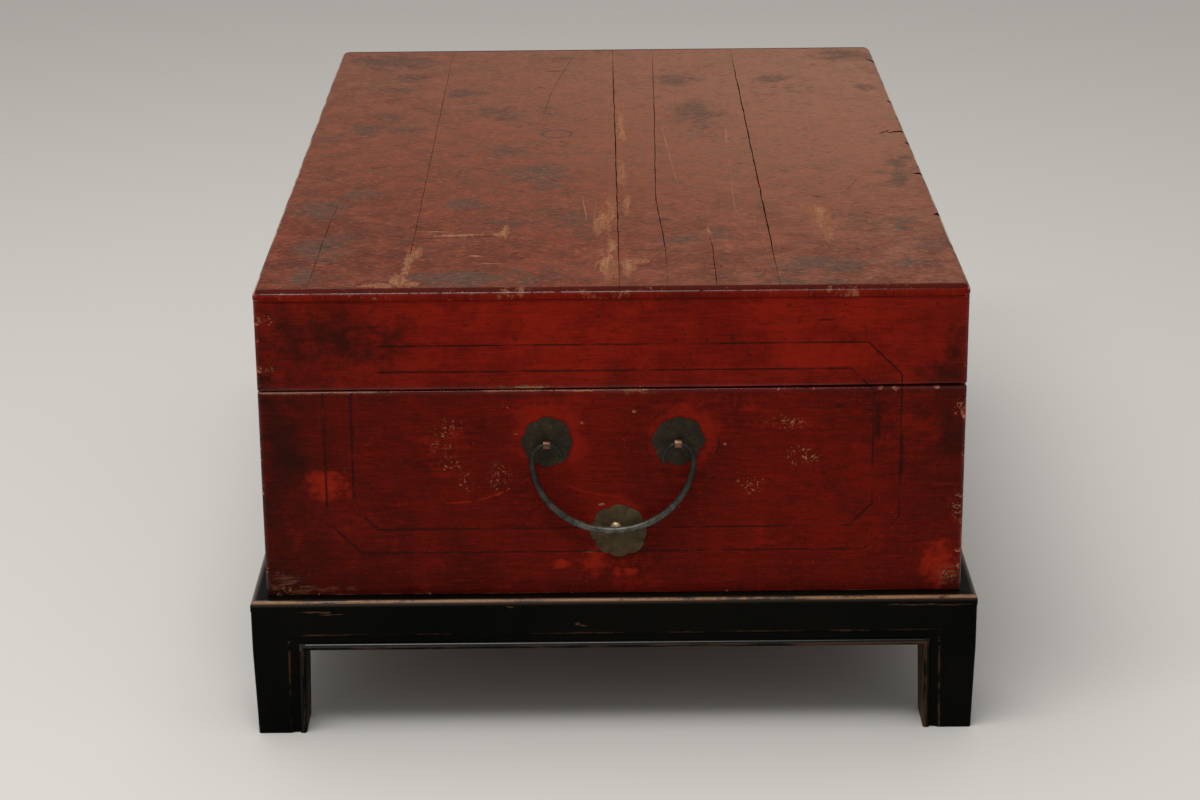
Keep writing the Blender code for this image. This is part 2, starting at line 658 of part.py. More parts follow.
def build_hasp(where):
    """The hasp: a strip rolled over its pin, slotted for the staple and rounded at its free end."""
    centre = HASP_AXIS_HEIGHT - STAPLE_HEIGHT
    slot = STRIP_WIDTH / 2 + SLOT_PLAY
    reach = STAPLE_BORE / 2 + STRIP + SLOT_PLAY
    end = centre + reach + HASP_END
    half = HASP_WIDTH / 2
    tip = slot + STRIP
    rows = []
    for angle, _ in arc_steps(0.0, pi / 2, QUARTER_FACETS):
        rows.append((end - HASP_ROUND * (1 - cos(angle)), 0.0, tip + (half - tip) * sin(angle)))
    slot_row = len(rows)
    rows += [(centre + reach, 0.0, half), (centre - reach, 0.0, half)]
    rows += [(0.0, turn, half) for turn, _ in arc_steps(0.0, ROLL, ROLL_FACETS)]
    cells = [(row, column) for row in range(len(rows) - 1) for column in range(3)
             if (row, column) != (slot_row, 1)]

    def skin(radius):
        def point(row, column):
            drop, turn, wide = rows[row]
            out, height = rolled(radius, drop, turn)
            return (-wide, -slot, slot, wide)[column], -out, height
        return point

    bm = sheet(cells, skin(HASP_BORE + HASP), skin(HASP_BORE))
    smooth(solid("hasp", bm, DARK_BRASS, HASP_BODY, where, 1, -hasp_lean()))


def build_lock(base_side, lid_side):
    face = TRUNK_WIDTH / 2
    upper = lock_plate("lock_plate_upper", 1, LID, LID_FLOOR)
    lower = lock_plate("lock_plate_lower", -1, TRUNK, BASE_TOP)
    staple_place = (face, 0.0, STAPLE_HEIGHT)
    split_pin("lock_staple", STAPLE_BORE / 2, STAPLE_STANDOFF, TRUNK, staple_place, 1)
    hole = split_pin_hole("staple_hole", TRUNK, staple_place, 1)
    combine(base_side, hole, "DIFFERENCE")
    combine(lower, hole, "DIFFERENCE")
    post = HASP_WIDTH / 2 + GAP + STRIP_WIDTH / 2
    for side, label in ((-1, "front"), (1, "back")):
        where = (face, side * post, HASP_AXIS_HEIGHT)
        split_pin(f"hasp_post_{label}", HASP_BORE, HASP_STANDOFF, LID, where, 1)
        hole = split_pin_hole(f"hasp_post_hole_{label}", LID, where, 1)
        combine(lid_side, hole, "DIFFERENCE")
        combine(upper, hole, "DIFFERENCE")
    axis = (face + HASP_STANDOFF, 0.0, HASP_AXIS_HEIGHT)
    half = post + STRIP_WIDTH / 2 + PIN_PROUD
    pin = turned([(HASP_PIN / 2, half), (HASP_PIN / 2, -half)], "y")
    smooth(solid("hasp_pin", pin, BRASS, LID, axis))
    build_hasp(axis)


for leftover in list(bpy.data.objects):
    bpy.data.objects.remove(leftover, do_unlink=True)

RED_LACQUER = finish("red_lacquer", (0.27, 0.028, 0.018), 0.35)
BLACK_LACQUER = finish("black_lacquer", (0.018, 0.014, 0.012), 0.35)
BARE_WOOD = finish("bare_wood", (0.30, 0.19, 0.10), 0.75)
DARK_BRASS = finish("dark_brass", (0.10, 0.075, 0.035), 0.5, 0.9)
BRASS = finish("brass", (0.55, 0.36, 0.13), 0.4, 1.0)
IRON = finish("iron", (0.09, 0.085, 0.08), 0.5, 0.9)

STAND = standing_point("stand_body", (0, 0, 0))
TRUNK = standing_point("trunk_body", (0, 0, TRUNK_FLOOR), STAND)
LID = standing_point("lid_body", (-TRUNK_WIDTH / 2 - HINGE_STANDOFF, 0, BASE_TOP + SEAM / 2), TRUNK)
HASP_BODY = standing_point("hasp_body", (TRUNK_WIDTH / 2 + HASP_STANDOFF, 0, HASP_AXIS_HEIGHT), LID)

build_stand()
end_boards, lock_side = build_base()
lid_lock_side = build_lid()
for end_name, face_name, end_face in zip(("front", "rear"), ("front", "back"), end_boards):
    quarter_turns = FACES.index(face_name)
    pivot_y = (quarter_turns - 1) * (TRUNK_LENGTH / 2 + EYE_STANDOFF)
    carrier = standing_point(f"{end_name}_handle_body", (0, pivot_y, PIVOT_HEIGHT), TRUNK)
    build_handle(end_name, quarter_turns, carrier, end_face)
build_hinges()
build_lock(lock_side, lid_lock_side)
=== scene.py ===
import json
from math import cos, pi, radians, sin
from random import Random

import bmesh
import bpy
from mathutils import Matrix, Vector, noise

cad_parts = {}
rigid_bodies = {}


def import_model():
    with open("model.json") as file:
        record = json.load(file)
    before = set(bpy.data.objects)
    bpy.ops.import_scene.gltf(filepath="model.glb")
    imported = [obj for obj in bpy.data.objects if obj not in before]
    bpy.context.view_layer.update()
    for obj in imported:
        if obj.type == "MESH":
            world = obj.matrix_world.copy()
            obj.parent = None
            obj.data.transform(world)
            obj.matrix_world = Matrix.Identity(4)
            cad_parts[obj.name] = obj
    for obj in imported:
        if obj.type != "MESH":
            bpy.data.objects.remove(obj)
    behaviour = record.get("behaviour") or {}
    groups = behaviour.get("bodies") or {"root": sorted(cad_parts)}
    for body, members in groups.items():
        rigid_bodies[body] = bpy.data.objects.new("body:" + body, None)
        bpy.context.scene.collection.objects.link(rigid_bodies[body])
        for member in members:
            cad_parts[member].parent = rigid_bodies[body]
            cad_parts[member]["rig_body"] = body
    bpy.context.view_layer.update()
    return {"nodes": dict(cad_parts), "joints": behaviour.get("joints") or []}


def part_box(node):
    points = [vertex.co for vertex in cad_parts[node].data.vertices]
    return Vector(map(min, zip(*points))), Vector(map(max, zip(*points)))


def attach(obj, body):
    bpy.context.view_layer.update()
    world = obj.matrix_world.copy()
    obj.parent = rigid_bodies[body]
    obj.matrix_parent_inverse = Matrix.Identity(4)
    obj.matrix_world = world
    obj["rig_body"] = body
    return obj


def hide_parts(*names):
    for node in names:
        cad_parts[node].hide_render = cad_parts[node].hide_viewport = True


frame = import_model()


# Stand: four mitred frame members on four aprons and four legs, tenoned together in hardwood and
# lacquered black.  Lifting the trunk on and off has rubbed the outer edge and the beads to brown wood.
WELD = 1e-6
FLAT = radians(0.5)
CREASE = radians(32)
STAND_STEP = 0.016
STAND_UNEVEN = 0.00010
STAND_WAVE = 55.0
STAND_SWELL = 0.00022
BEAD = 0.005
COVE = 0.007
BLACK = (0.0016, 0.0016, 0.0009, 1)
BLACK_DUSTY = (0.0036, 0.0034, 0.0022, 1)
RUBBED_BROWN = (0.075, 0.036, 0.019, 1)
RUBBED_TAN = (0.27, 0.140, 0.074, 1)
SCUFFS = (
    (-214, 95.8, 20, 1.2), (-204, 94, 16, 0.8), (-74, 98, 4, 1), (-26.5, 84.5, 3, 2.2),
    (-22.5, 83.2, 4, 1), (224, 97.5, 50, 0.8),
)


class Wire:
    """A socket in a finish; an operator on it adds the Math node that it stands for."""

    def __init__(self, socket):
        self.socket = socket

    def node(self, kind, settings, sockets, output=0):
        """Adds any other node: its settings first, then the values or wires of its sockets."""
        tree = self.socket.id_data
        made = tree.nodes.new(f"ShaderNode{kind}")
        for name, setting in settings.items():
            setattr(made, name, setting)
        for key, value in sockets.items():
            if isinstance(value, Wire):
                tree.links.new(value.socket, made.inputs[key])
            else:
                made.inputs[key].default_value = value
        return Wire(made.outputs[output])

    def maths(self, operation, *values):
        return self.node("Math", {"operation": operation}, dict(enumerate(values)))

    def __add__(self, other):
        return self.maths("ADD", self, other)

    def __radd__(self, other):
        return self.maths("ADD", other, self)

    def __sub__(self, other):
        return self.maths("SUBTRACT", self, other)

    def __rsub__(self, other):
        return self.maths("SUBTRACT", other, self)

    def __mul__(self, other):
        return self.maths("MULTIPLY", self, other)

    def __rmul__(self, other):
        return self.maths("MULTIPLY", other, self)

    def __abs__(self):
        return self.maths("ABSOLUTE", self)

    def least(self, other):
        return self.maths("MINIMUM", self, other)

    def most(self, other):
        return self.maths("MAXIMUM", self, other)

    def fade(self, start, end):
        """Runs smoothly from 0 at start to 1 at end."""
        return self.node("MapRange", {"interpolation_type": "SMOOTHSTEP"},
                         {"Value": self, "From Min": start, "From Max": end})

    def tint(self, under, over):
        """The colour under this mask turned into the colour over it."""
        return self.node("Mix", {"data_type": "RGBA"}, {0: self, 6: under, 7: over}, 2)

    def part(self, axis):
        return self.node("SeparateXYZ", {}, {0: self}, axis)

    def parts(self):
        return [self.part(axis) for axis in range(3)]

    def stretch(self, factors):
        return self.node("VectorMath", {"operation": "MULTIPLY"}, {0: self, 1: factors})

    def cloud(self, scale, detail=4.0, roughness=0.55):
        """Soft noise at a place, about 0.3 to 0.7, with features one scale-th of a metre wide."""
        return self.node("TexNoise", {}, {"Vector": self, "Scale": scale, "Detail": detail,
                                          "Roughness": roughness})

    def ragged(self, scale, reach):
        """The place moved about by noise, so that what is drawn with it gets an uneven outline."""
        drift = self.node("TexNoise", {}, {"Vector": self, "Scale": scale, "Detail": 3.0}, "Color")
        centred = self.node("VectorMath", {"operation": "SUBTRACT"}, {0: drift, 1: (0.5, 0.5, 0.5)})
        return self.node("VectorMath", {"operation": "MULTIPLY_ADD"},
                         {0: centred, 1: (reach, reach, reach), 2: self})

    def spot(self, centre, reach):
        """Falls evenly from 1 at the centre of an ellipsoid to 0 at its surface."""
        offset = self.node("VectorMath", {"operation": "SUBTRACT"}, {0: self, 1: centre})
        scaled = offset.stretch([1 / r for r in reach])
        length = scaled.node("VectorMath", {"operation": "LENGTH"}, {0: scaled}, "Value")
        return (1.0 - length).most(0.0)

    def broken(self, uneven, start, end, sure):
        """A spot whose outline is broken up by noise; nothing shows outside the spot itself."""
        return (self + uneven).fade(start, end) * self.fade(0.0, sure)

    def from_axis(self, centre):
        """Distance from a centre, along the face only where the place was flattened."""
        return self.node("VectorMath", {"operation": "DISTANCE"}, {0: self, 1: centre}, "Value")

    def relief(self, strength, depth):
        return self.node("Bump", {}, {"Strength": strength, "Distance": depth, "Height": self})


def new_finish(name):
    """A new material: itself, its shader, and the wire of places in the object's frame."""
    material = bpy.data.materials.new(name)
    material.use_nodes = True
    shader = material.node_tree.nodes["Principled BSDF"]
    return material, shader, Wire(shader.inputs[0]).node("TexCoord", {}, {}, "Object")


def lay_on(shader, sockets):
    for name, value in sockets.items():
        if isinstance(value, Wire):
            shader.id_data.links.new(value.socket, shader.inputs[name])
        else:
            shader.inputs[name].default_value = value


def hull(nodes):
    """The box round several nodes at rest."""
    boxes = [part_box(node) for node in nodes]
    low = Vector([min(box[0][axis] for box in boxes) for axis in range(3)])
    high = Vector([max(box[1][axis] for box in boxes) for axis in range(3)])
    return low, high


def welded(node):
    """A node's mesh with its split corners joined and its flat faces whole."""
    source = frame["nodes"][node].data
    plain = bpy.data.meshes.new(node)
    plain.from_pydata([v.co for v in source.vertices], [], [p.vertices[:] for p in source.polygons])
    bm = bmesh.new()
    bm.from_mesh(plain)
    bpy.data.meshes.remove(plain)
    bmesh.ops.remove_doubles(bm, verts=bm.verts[:], dist=WELD)
    bmesh.ops.dissolve_limit(bm, angle_limit=FLAT, verts=bm.verts[:], edges=bm.edges[:])
    return bm


def swollen(node, by):
    """A node's mesh grown evenly, so that the working gaps round it close to hairlines."""
    bm = welded(node)
    bm.normal_update()
    for vert, move in [(vert, vert.normal * vert.calc_shell_factor() * by) for vert in bm.verts]:
        vert.co += move
    return bm


def sliced(bm, step):
    """Splits a shape's faces along planes about a step apart on each axis."""
    for axis in range(3):
        across = [vert.co[axis] for vert in bm.verts]
        cuts = int((max(across) - min(across)) / step)
        normal = Vector([float(axis == other) for other in range(3)])
        for cut in range(1, cuts + 1):
            place = min(across) + (max(across) - min(across)) * cut / (cuts + 1)
            bmesh.ops.bisect_plane(bm, geom=bm.verts[:] + bm.edges[:] + bm.faces[:], dist=WELD,
                                   plane_co=normal * place, plane_no=normal)


def sink(bm, depth, scale):
    """Sinks each point of a shape by an uneven depth, as hand tools and wear leave a surface."""
    bm.normal_update()
    for vert in bm.verts:
        vert.co -= vert.normal * depth * (0.5 + 0.5 * noise.noise(vert.co * scale))


def new_object(name, bm, material):
    mesh = bpy.data.meshes.new(name)
    bm.to_mesh(mesh)
    bm.free()
    mesh.materials.append(material)
    obj = bpy.data.objects.new(name, mesh)
    bpy.context.scene.collection.objects.link(obj)
    return obj


def ease(obj, width):
    """Takes the sharpness off an object's edges."""
    bevel = obj.modifiers.new("eased", "BEVEL")
    bevel.width = width
    bevel.segments = 2
    bevel.limit_method = "ANGLE"
    bevel.angle_limit = CREASE


def settle(obj):
    """Turns an object's modifiers into its own mesh, shaded smooth except at its creases."""
    bpy.context.view_layer.update()
    settled = bpy.data.meshes.new_from_object(obj.evaluated_get(bpy.context.evaluated_depsgraph_get()))
    obj.modifiers.clear()
    obj.data = settled
    settled.shade_smooth()
    settled.set_sharp_from_angle(angle=CREASE)


def stand_for(obj, node):
    """Shows an object in the place of a node, on the body that carries it."""
    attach(obj, frame["nodes"][node]["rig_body"])
    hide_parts(node)


def dress(node, manner, shape, finish, edge=0.0):
    """Shows a shape in the place of a node, its edges eased where asked."""
    obj = new_object(f"{node}_{manner}", shape, finish)
    if edge:
        ease(obj, edge)
    settle(obj)
    stand_for(obj, node)


def mm(sizes):
    """Sizes given in millimetres, in metres."""
    return [size / 1000 for size in sizes]


def any_spot(place, spots):
    """The strongest of several spots, each given as centre and reach."""
    found = None
    for centre, reach in spots:
        one = place.spot(centre, reach)
        found = found.most(one) if found else one
    return found


def black_lacquer():
    """Black lacquer, dusty here and there and rubbed through on the rim, the beads and the arrises."""
    material, shader, place = new_finish("black_lacquer_rubbed")
    x, y, z = place.parts()
    in_x = stand_high.x - abs(x)
    in_y = stand_high.y - abs(y)
    on_side = in_x.maths("LESS_THAN", in_x, in_y)
    taper = (apron_foot - z).most(0.0) * ((leg_width - foot_width) / 2 / apron_foot)
    from_corner = in_x + on_side * (in_y - in_x)
    far = (leg_width - taper - from_corner).most(z - apron_foot)
    rim = in_x.least(in_y).most(stand_high.z - z)
    on_leg = z.fade(apron_foot + 0.001, apron_foot - 0.001)
    broad = place.cloud(9.0, 3.0)
    fine = place.cloud(150.0, 5.0, 0.65)
    level_run = place.stretch((2.4, 2.4, 30.0)).cloud(9.0, 4.0)
    along = level_run + on_leg * (place.stretch((30.0, 30.0, 2.4)).cloud(9.0, 4.0) - level_run)
    rubbed_rim = (rim + fine * 0.0010).fade(0.0028, 0.0017) * (along + fine * 0.35).fade(0.50, 0.68)
    rubbed_rim = rubbed_rim * (1.0 - on_side * 0.85)
    rubbed_bead = far.fade(0.0036, 0.0022) * (along + fine * 0.3 + x * 0.35).fade(0.56, 0.76)
    arris = abs(far - BEAD - COVE).fade(0.0011, 0.0004) * (along + fine * 0.45).fade(0.70, 0.88) * 0.7
    scuffed = any_spot(place.ragged(60.0, 0.004), [((across, stand_low.y, up), (wide, 0.004, high))
                                                   for across, up, wide, high in map(mm, SCUFFS)])
    scraped = place.stretch((7.0, 7.0, 330.0)).cloud(1.0, 3.0).fade(0.70, 0.78) * broad.fade(0.46, 0.60)
    brown = rubbed_bead.most(arris).most(scraped * 0.55).most(rim.fade(0.0040, 0.0024) * 0.35)
    brown = brown.most(scuffed.broken((fine - 0.5) * 1.6, 0.20, 0.80, 0.3))
    ground = (broad + fine * 0.3).fade(0.45, 0.85).tint(BLACK, BLACK_DUSTY)
    tan = (fine * 0.6 + along * 0.5).fade(0.36, 0.62).tint(RUBBED_BROWN, RUBBED_TAN)
    crest = far.fade(0.0019, 0.0030) * far.fade(BEAD + 0.0004, BEAD - 0.0004)
    handled = rim.fade(0.005, 0.001).most(crest * (1.0 - on_leg * 0.8))
    # The coat on the rim and the bead crests fades from left to right: a painted highlight that stands for
    # light from the left.
    lay_on(shader, {"Base Color": rubbed_rim.tint((brown * 0.8).tint(ground, RUBBED_BROWN), tan),
                    "Roughness": 0.40 + rubbed_rim * 0.2 + fine * 0.12,
                    "Coat Weight": handled * (1.0 - rubbed_rim * 0.7) * (0.35 + x.fade(0.20, -0.20) * 0.45),
                    "Coat Roughness": 0.16,
                    "Specular IOR Level": 0.03,
                    "Normal": (fine * 0.4 + along).relief(0.2, 0.0006)})
    return material


frame_nodes = [node for node in frame["nodes"] if node.startswith("stand_frame")]
under_nodes = [node for node in frame["nodes"] if node.startswith(("stand_apron", "stand_leg"))]
stand_low, stand_high = hull(frame_nodes)
apron_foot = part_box("stand_apron_front")[0].z
leg_low, leg_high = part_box("stand_leg_front_left")
leg_width = leg_high.x - leg_low.x
leg_soles = [v.co.x for v in frame["nodes"]["stand_leg_front_left"].data.vertices if v.co.z < WELD]
foot_width = max(leg_soles) - min(leg_soles)
stand_finish = black_lacquer()
for node in frame_nodes + under_nodes:
    shape = swollen(node, STAND_SWELL)
    sliced(shape, STAND_STEP)
    sink(shape, STAND_UNEVEN, STAND_WAVE)
    dress(node, "rubbed", shape, stand_finish)


# Stand battens and trunk bottom: the unseen timbers, plain sawn softwood left bare, the battens
# housed into the long aprons and the bottom boards slid into grooves of the side boards.
WOOD_DARK = (0.165, 0.092, 0.046, 1)
WOOD_PALE = (0.285, 0.175, 0.095, 1)
WOOD_STEP = 0.030
WOOD_UNEVEN = 0.00025
WOOD_WAVE = 30.0
WOOD_EDGE = 0.0008


def wood_grain(place, stretch):
    """Colour and height of bare softwood; the stretch is small along the grain."""
    drawn = place.ragged(7.0, 0.012).stretch(stretch)
    bands = drawn.cloud(2.2, 3.0, 0.6)
    pores = drawn.cloud(16.0, 3.0, 0.7)
    grime = place.cloud(11.0, 5.0, 0.6)
    tone = (bands * 1.1 + pores * 0.5 - grime * 0.35).fade(0.36, 0.86)
    return tone.tint(WOOD_DARK, WOOD_PALE), pores * 0.5 + bands


def bare_wood(name, stretch):
    material, shader, place = new_finish(name)
    colour, height = wood_grain(place, stretch)
    lay_on(shader, {"Base Color": colour, "Roughness": 0.62 + height * 0.2,
                    "Specular IOR Level": 0.25, "Normal": height.relief(0.45, 0.0008)})
    return material


crosswise_wood = bare_wood("bare_wood_sawn", (4.0, 60.0, 60.0))
for node in frame["nodes"]:
    if node.startswith(("stand_batten", "bottom_board")):
        shape = welded(node)
        sliced(shape, WOOD_STEP)
        sink(shape, WOOD_UNEVEN, WOOD_WAVE)
        dress(node, "sawn", shape, crosswise_wood, WOOD_EDGE)


# Trunk base and lid rim: dovetailed boards under many coats of red lacquer that run on over the joints.
# Two lines scribed through the lacquer frame each face across the seam, and knocks have chipped the arrises.
SWELL = 0.00012
BOARD = 0.014
BOARD_STEP = 0.024
BOARD_UNEVEN = 0.00030
CORNER_ROUND = 0.0020
ARRIS_ROUND = 0.0011
LID_LIFT = 0.0012
LIFT_START = (-0.02, 0.10)
LIFT_REACH = (0.27, 0.5)
LIFT_BAND = 0.006
KNOCK_SHAPE = (0.7, 0.55, 0.55)
KNOCK_IN = 0.0006
KNOCK_SPREAD = (0.24, 0.39)
BOARD_WAVE = 14.0
LINE_WAVE = 45.0
MARK_REACH = 0.02
LINE_WIDTH = 0.0008
LINE_DEPTH = 0.00032
LINE_WANDER = 0.00035
LINE_STEP = 0.012
OUTER_LINE = {"inset": 0.046, "low": 0.0327, "high": 0.1882, "clip": 0.024}
INNER_LINE = {"inset": 0.0655, "low": 0.0507, "high": 0.1690, "clip": 0.0165}
RED_DEEP = (0.062, 0.0042, 0.0021, 1)
RED_MID = (0.142, 0.0062, 0.0025, 1)
RED_BRIGHT = (0.255, 0.0120, 0.0044, 1)
RED_GRIME_AND_SHADE = (0.022, 0.0052, 0.0034, 1)
RED_ORANGE = (0.270, 0.0150, 0.0046, 1)
GROUND_COAT = (0.36, 0.150, 0.080, 1)
SCUFFED = (0.130, 0.046, 0.026, 1)
LINE_INK = (0.010, 0.0040, 0.0030, 1)
GILT = (0.36, 0.205, 0.095, 1)


def rounded_box(low, high, corner, top, foot):
    """A box with rounded upright corners and, where asked, rounded upper and lower arrises."""
    bm = bmesh.new()
    bmesh.ops.create_cube(bm, size=1.0)
    for vert in bm.verts:
        vert.co = [low[i] + (vert.co[i] + 0.5) * (high[i] - low[i]) for i in range(3)]
    middle = (low.z + high.z) / 2
    upright = [edge for edge in bm.edges if abs(edge.verts[0].co.z - edge.verts[1].co.z) > WELD]
    bmesh.ops.bevel(bm, geom=upright, offset=corner, segments=4, profile=0.5, affect="EDGES")
    for radius, upper in ((top, True), (foot, False)):
        level = [edge for edge in bm.edges if abs(edge.verts[0].co.z - edge.verts[1].co.z) < WELD
                 and (edge.verts[0].co.z > middle) == upper]
        if radius:
            bmesh.ops.bevel(bm, geom=level, offset=radius, segments=4, profile=0.5, affect="EDGES")
    return bm


def bridge(bm, rings, capped=False):
    """Joins rings of points, each to the next, and closes the first and the last where asked."""
    for one, other in zip(rings, rings[1:]):
        for i in range(len(one)):
            j = (i + 1) % len(one)
            bm.faces.new((one[i], one[j], other[j], other[i]))
    if capped:
        bm.faces.new(rings[0][::-1])
        bm.faces.new(rings[-1])


def faced_out(bm):
    """A closed shape with all its faces turned outward."""
    bmesh.ops.recalc_face_normals(bm, faces=bm.faces[:])
    return bm


def carve(obj, tool, operation):
    """Cuts or trims an object with another, whose finish shows on the new faces."""
    cut = obj.modifiers.new(tool.name, "BOOLEAN")
    cut.operation = operation
    cut.solver = "EXACT"
    cut.material_mode = "TRANSFER"
    cut.use_self = operation == "DIFFERENCE"
    cut.object = tool


def lacquered(nodes, envelope, finish, tools):
    """Trims boards to one worn envelope, cuts them with the tools and shows them."""
    for node in nodes:
        board = new_object(f"{node}_lacquered", swollen(node, SWELL), finish)
        trim = new_object(f"{node}_trim", envelope.copy(), finish)
        carve(board, trim, "INTERSECT")
        for tool in tools:
            carve(board, tool, "DIFFERENCE")
        settle(board)
        bpy.data.objects.remove(trim)
        stand_for(board, node)
    envelope.free()


def scribed_frame(bm, across, outward, spec, half, face):
    """Adds the cutter of one scribed line: a thin eight-sided frame that wanders a little."""
    side = half - spec["inset"]
    clip = spec["clip"]
    middle = trunk_low.z + (spec["low"] + spec["high"]) / 2
    rise = (spec["high"] - spec["low"]) / 2
    quarter = [Vector((side, rise - clip)), Vector((side - clip, rise))]
    corners = quarter + [Vector((-p.x, p.y)) for p in reversed(quarter)]
    corners += [Vector((-p.x, -p.y)) for p in quarter] + [Vector((p.x, -p.y)) for p in reversed(quarter)]
    path = []
    for start, end in zip(corners, corners[1:] + corners[:1]):
        pieces = max(1, int((end - start).length / LINE_STEP))
        normal = Vector((end.y - start.y, start.x - end.x)).normalized()
        for i in range(pieces):
            point = start.lerp(end, i / pieces)
            wander = noise.noise(Vector((point.x, point.y, half)) * LINE_WAVE) if i else 0.0
            path.append((point + normal * wander * LINE_WANDER, normal if i else point.normalized()))
    rings = []
    for place in (face + LINE_WIDTH, face - LINE_DEPTH):
        for offset in (LINE_WIDTH / 2, -LINE_WIDTH / 2):
            rings.append([bm.verts.new(across * (point + normal * offset).x + outward * place
                                       + Vector((0, 0, middle + (point + normal * offset).y)))
                          for point, normal in path])
    outer_top, inner_top, outer_low, inner_low = rings
    bridge(bm, [outer_top, inner_top, inner_low, outer_low, outer_top])


def chip(bm, place, size, seed):
    """Adds a lump to a cutter that knocks a ragged chip out of an arris."""
    draw = Random(seed)
    lump = bmesh.ops.create_icosphere(bm, subdivisions=2, radius=1.0)["verts"]
    shift = Vector([draw.uniform(-9, 9) for _ in range(3)])
    turn = Matrix.Rotation(draw.uniform(0, pi), 3, "Z")
    spread = [draw.uniform(0.55, 1.5) for _ in range(3)]
    for vert in lump:
        rough = 1.0 + 0.9 * noise.noise(vert.co * 2.3 + shift)
        vert.co = turn @ Vector([c * s * w * rough for c, s, w in zip(vert.co, size, spread)]) + place


def layered(colour, *layers):
    """A colour under several layers, each given as a mask and the colour that it shows."""
    for mask, over in layers:
        colour = mask.tint(colour, over)
    return colour


def lacquer(name, grain):
    """The layers that every red face shares: its material, shader, place, colour and height."""
    material, shader, place = new_finish(name)
    drawn = place.stretch(grain)
    broad = place.cloud(5.0, 3.0)
    mottle = place.cloud(21.0, 6.0, 0.68)
    brushed = drawn.cloud(1.0, 5.0, 0.62)
    hair = drawn.cloud(3.4, 3.0, 0.7)
    flecks = place.cloud(170.0, 4.0, 0.7)
    sparks = place.ragged(120.0, 0.004).cloud(330.0, 3.0, 0.6)
    fresh = place.part(2).fade(rim_low.z - 0.001, rim_low.z + 0.001) * 0.28
    tone = (broad * 0.75 + mottle * 0.7 + brushed * 0.35 + flecks * 0.45 + fresh).fade(0.86, 1.34)
    rub = (place.cloud(15.0, 6.0, 0.66) * 0.9 + brushed * 0.25 + flecks * 0.3 + fresh * 0.5).fade(0.75, 0.97)
    stain = (place.cloud(34.0, 6.0, 0.70) * 0.8 + broad * 0.4 + flecks * 0.15).fade(0.70, 0.94)
    colour = layered(tone.tint(RED_DEEP, RED_MID), (rub * 0.8, RED_BRIGHT), (stain * 0.58, RED_GRIME_AND_SHADE),
                     (hair.fade(0.50, 0.68) * 0.42, RED_GRIME_AND_SHADE), (hair.fade(0.46, 0.34) * 0.24, RED_BRIGHT),
                     (flecks.fade(0.54, 0.66) * mottle.fade(0.36, 0.58) * 0.6, RED_GRIME_AND_SHADE),
                     (sparks.fade(0.60, 0.68) * mottle.fade(0.62, 0.42) * 0.55, RED_BRIGHT))
    return material, shader, place, colour, brushed * 0.5 + hair * 0.25 + mottle * 0.6


def off_line(across, z, spec, half):
    """How far a place on a face lies outside one of the scribed frames; negative inside it."""
    side = half - spec["inset"]
    middle = trunk_low.z + (spec["low"] + spec["high"]) / 2
    rise = (spec["high"] - spec["low"]) / 2
    reach = abs(across)
    climb = abs(z - middle)
    clipped = (reach + climb - (side + rise - spec["clip"])) * 0.7071
    return (reach - side).most(climb - rise).most(clipped)


def line_kept(place):
    """How much of the dark is left in the scribed lines: little on the lid's left and at the right."""
    x, y, z = place.parts()
    on_lid = z.fade(base_high.z, rim_low.z)
    lost = x.fade(-0.158, -0.180) * on_lid + x.fade(0.15, 0.18) * (1.0 - on_lid) * 0.4
    lost = lost * y.fade(near + 0.004, near + 0.001)
    return (place.cloud(34.0, 4.0, 0.65) - lost * 0.2).fade(0.34, 0.50)


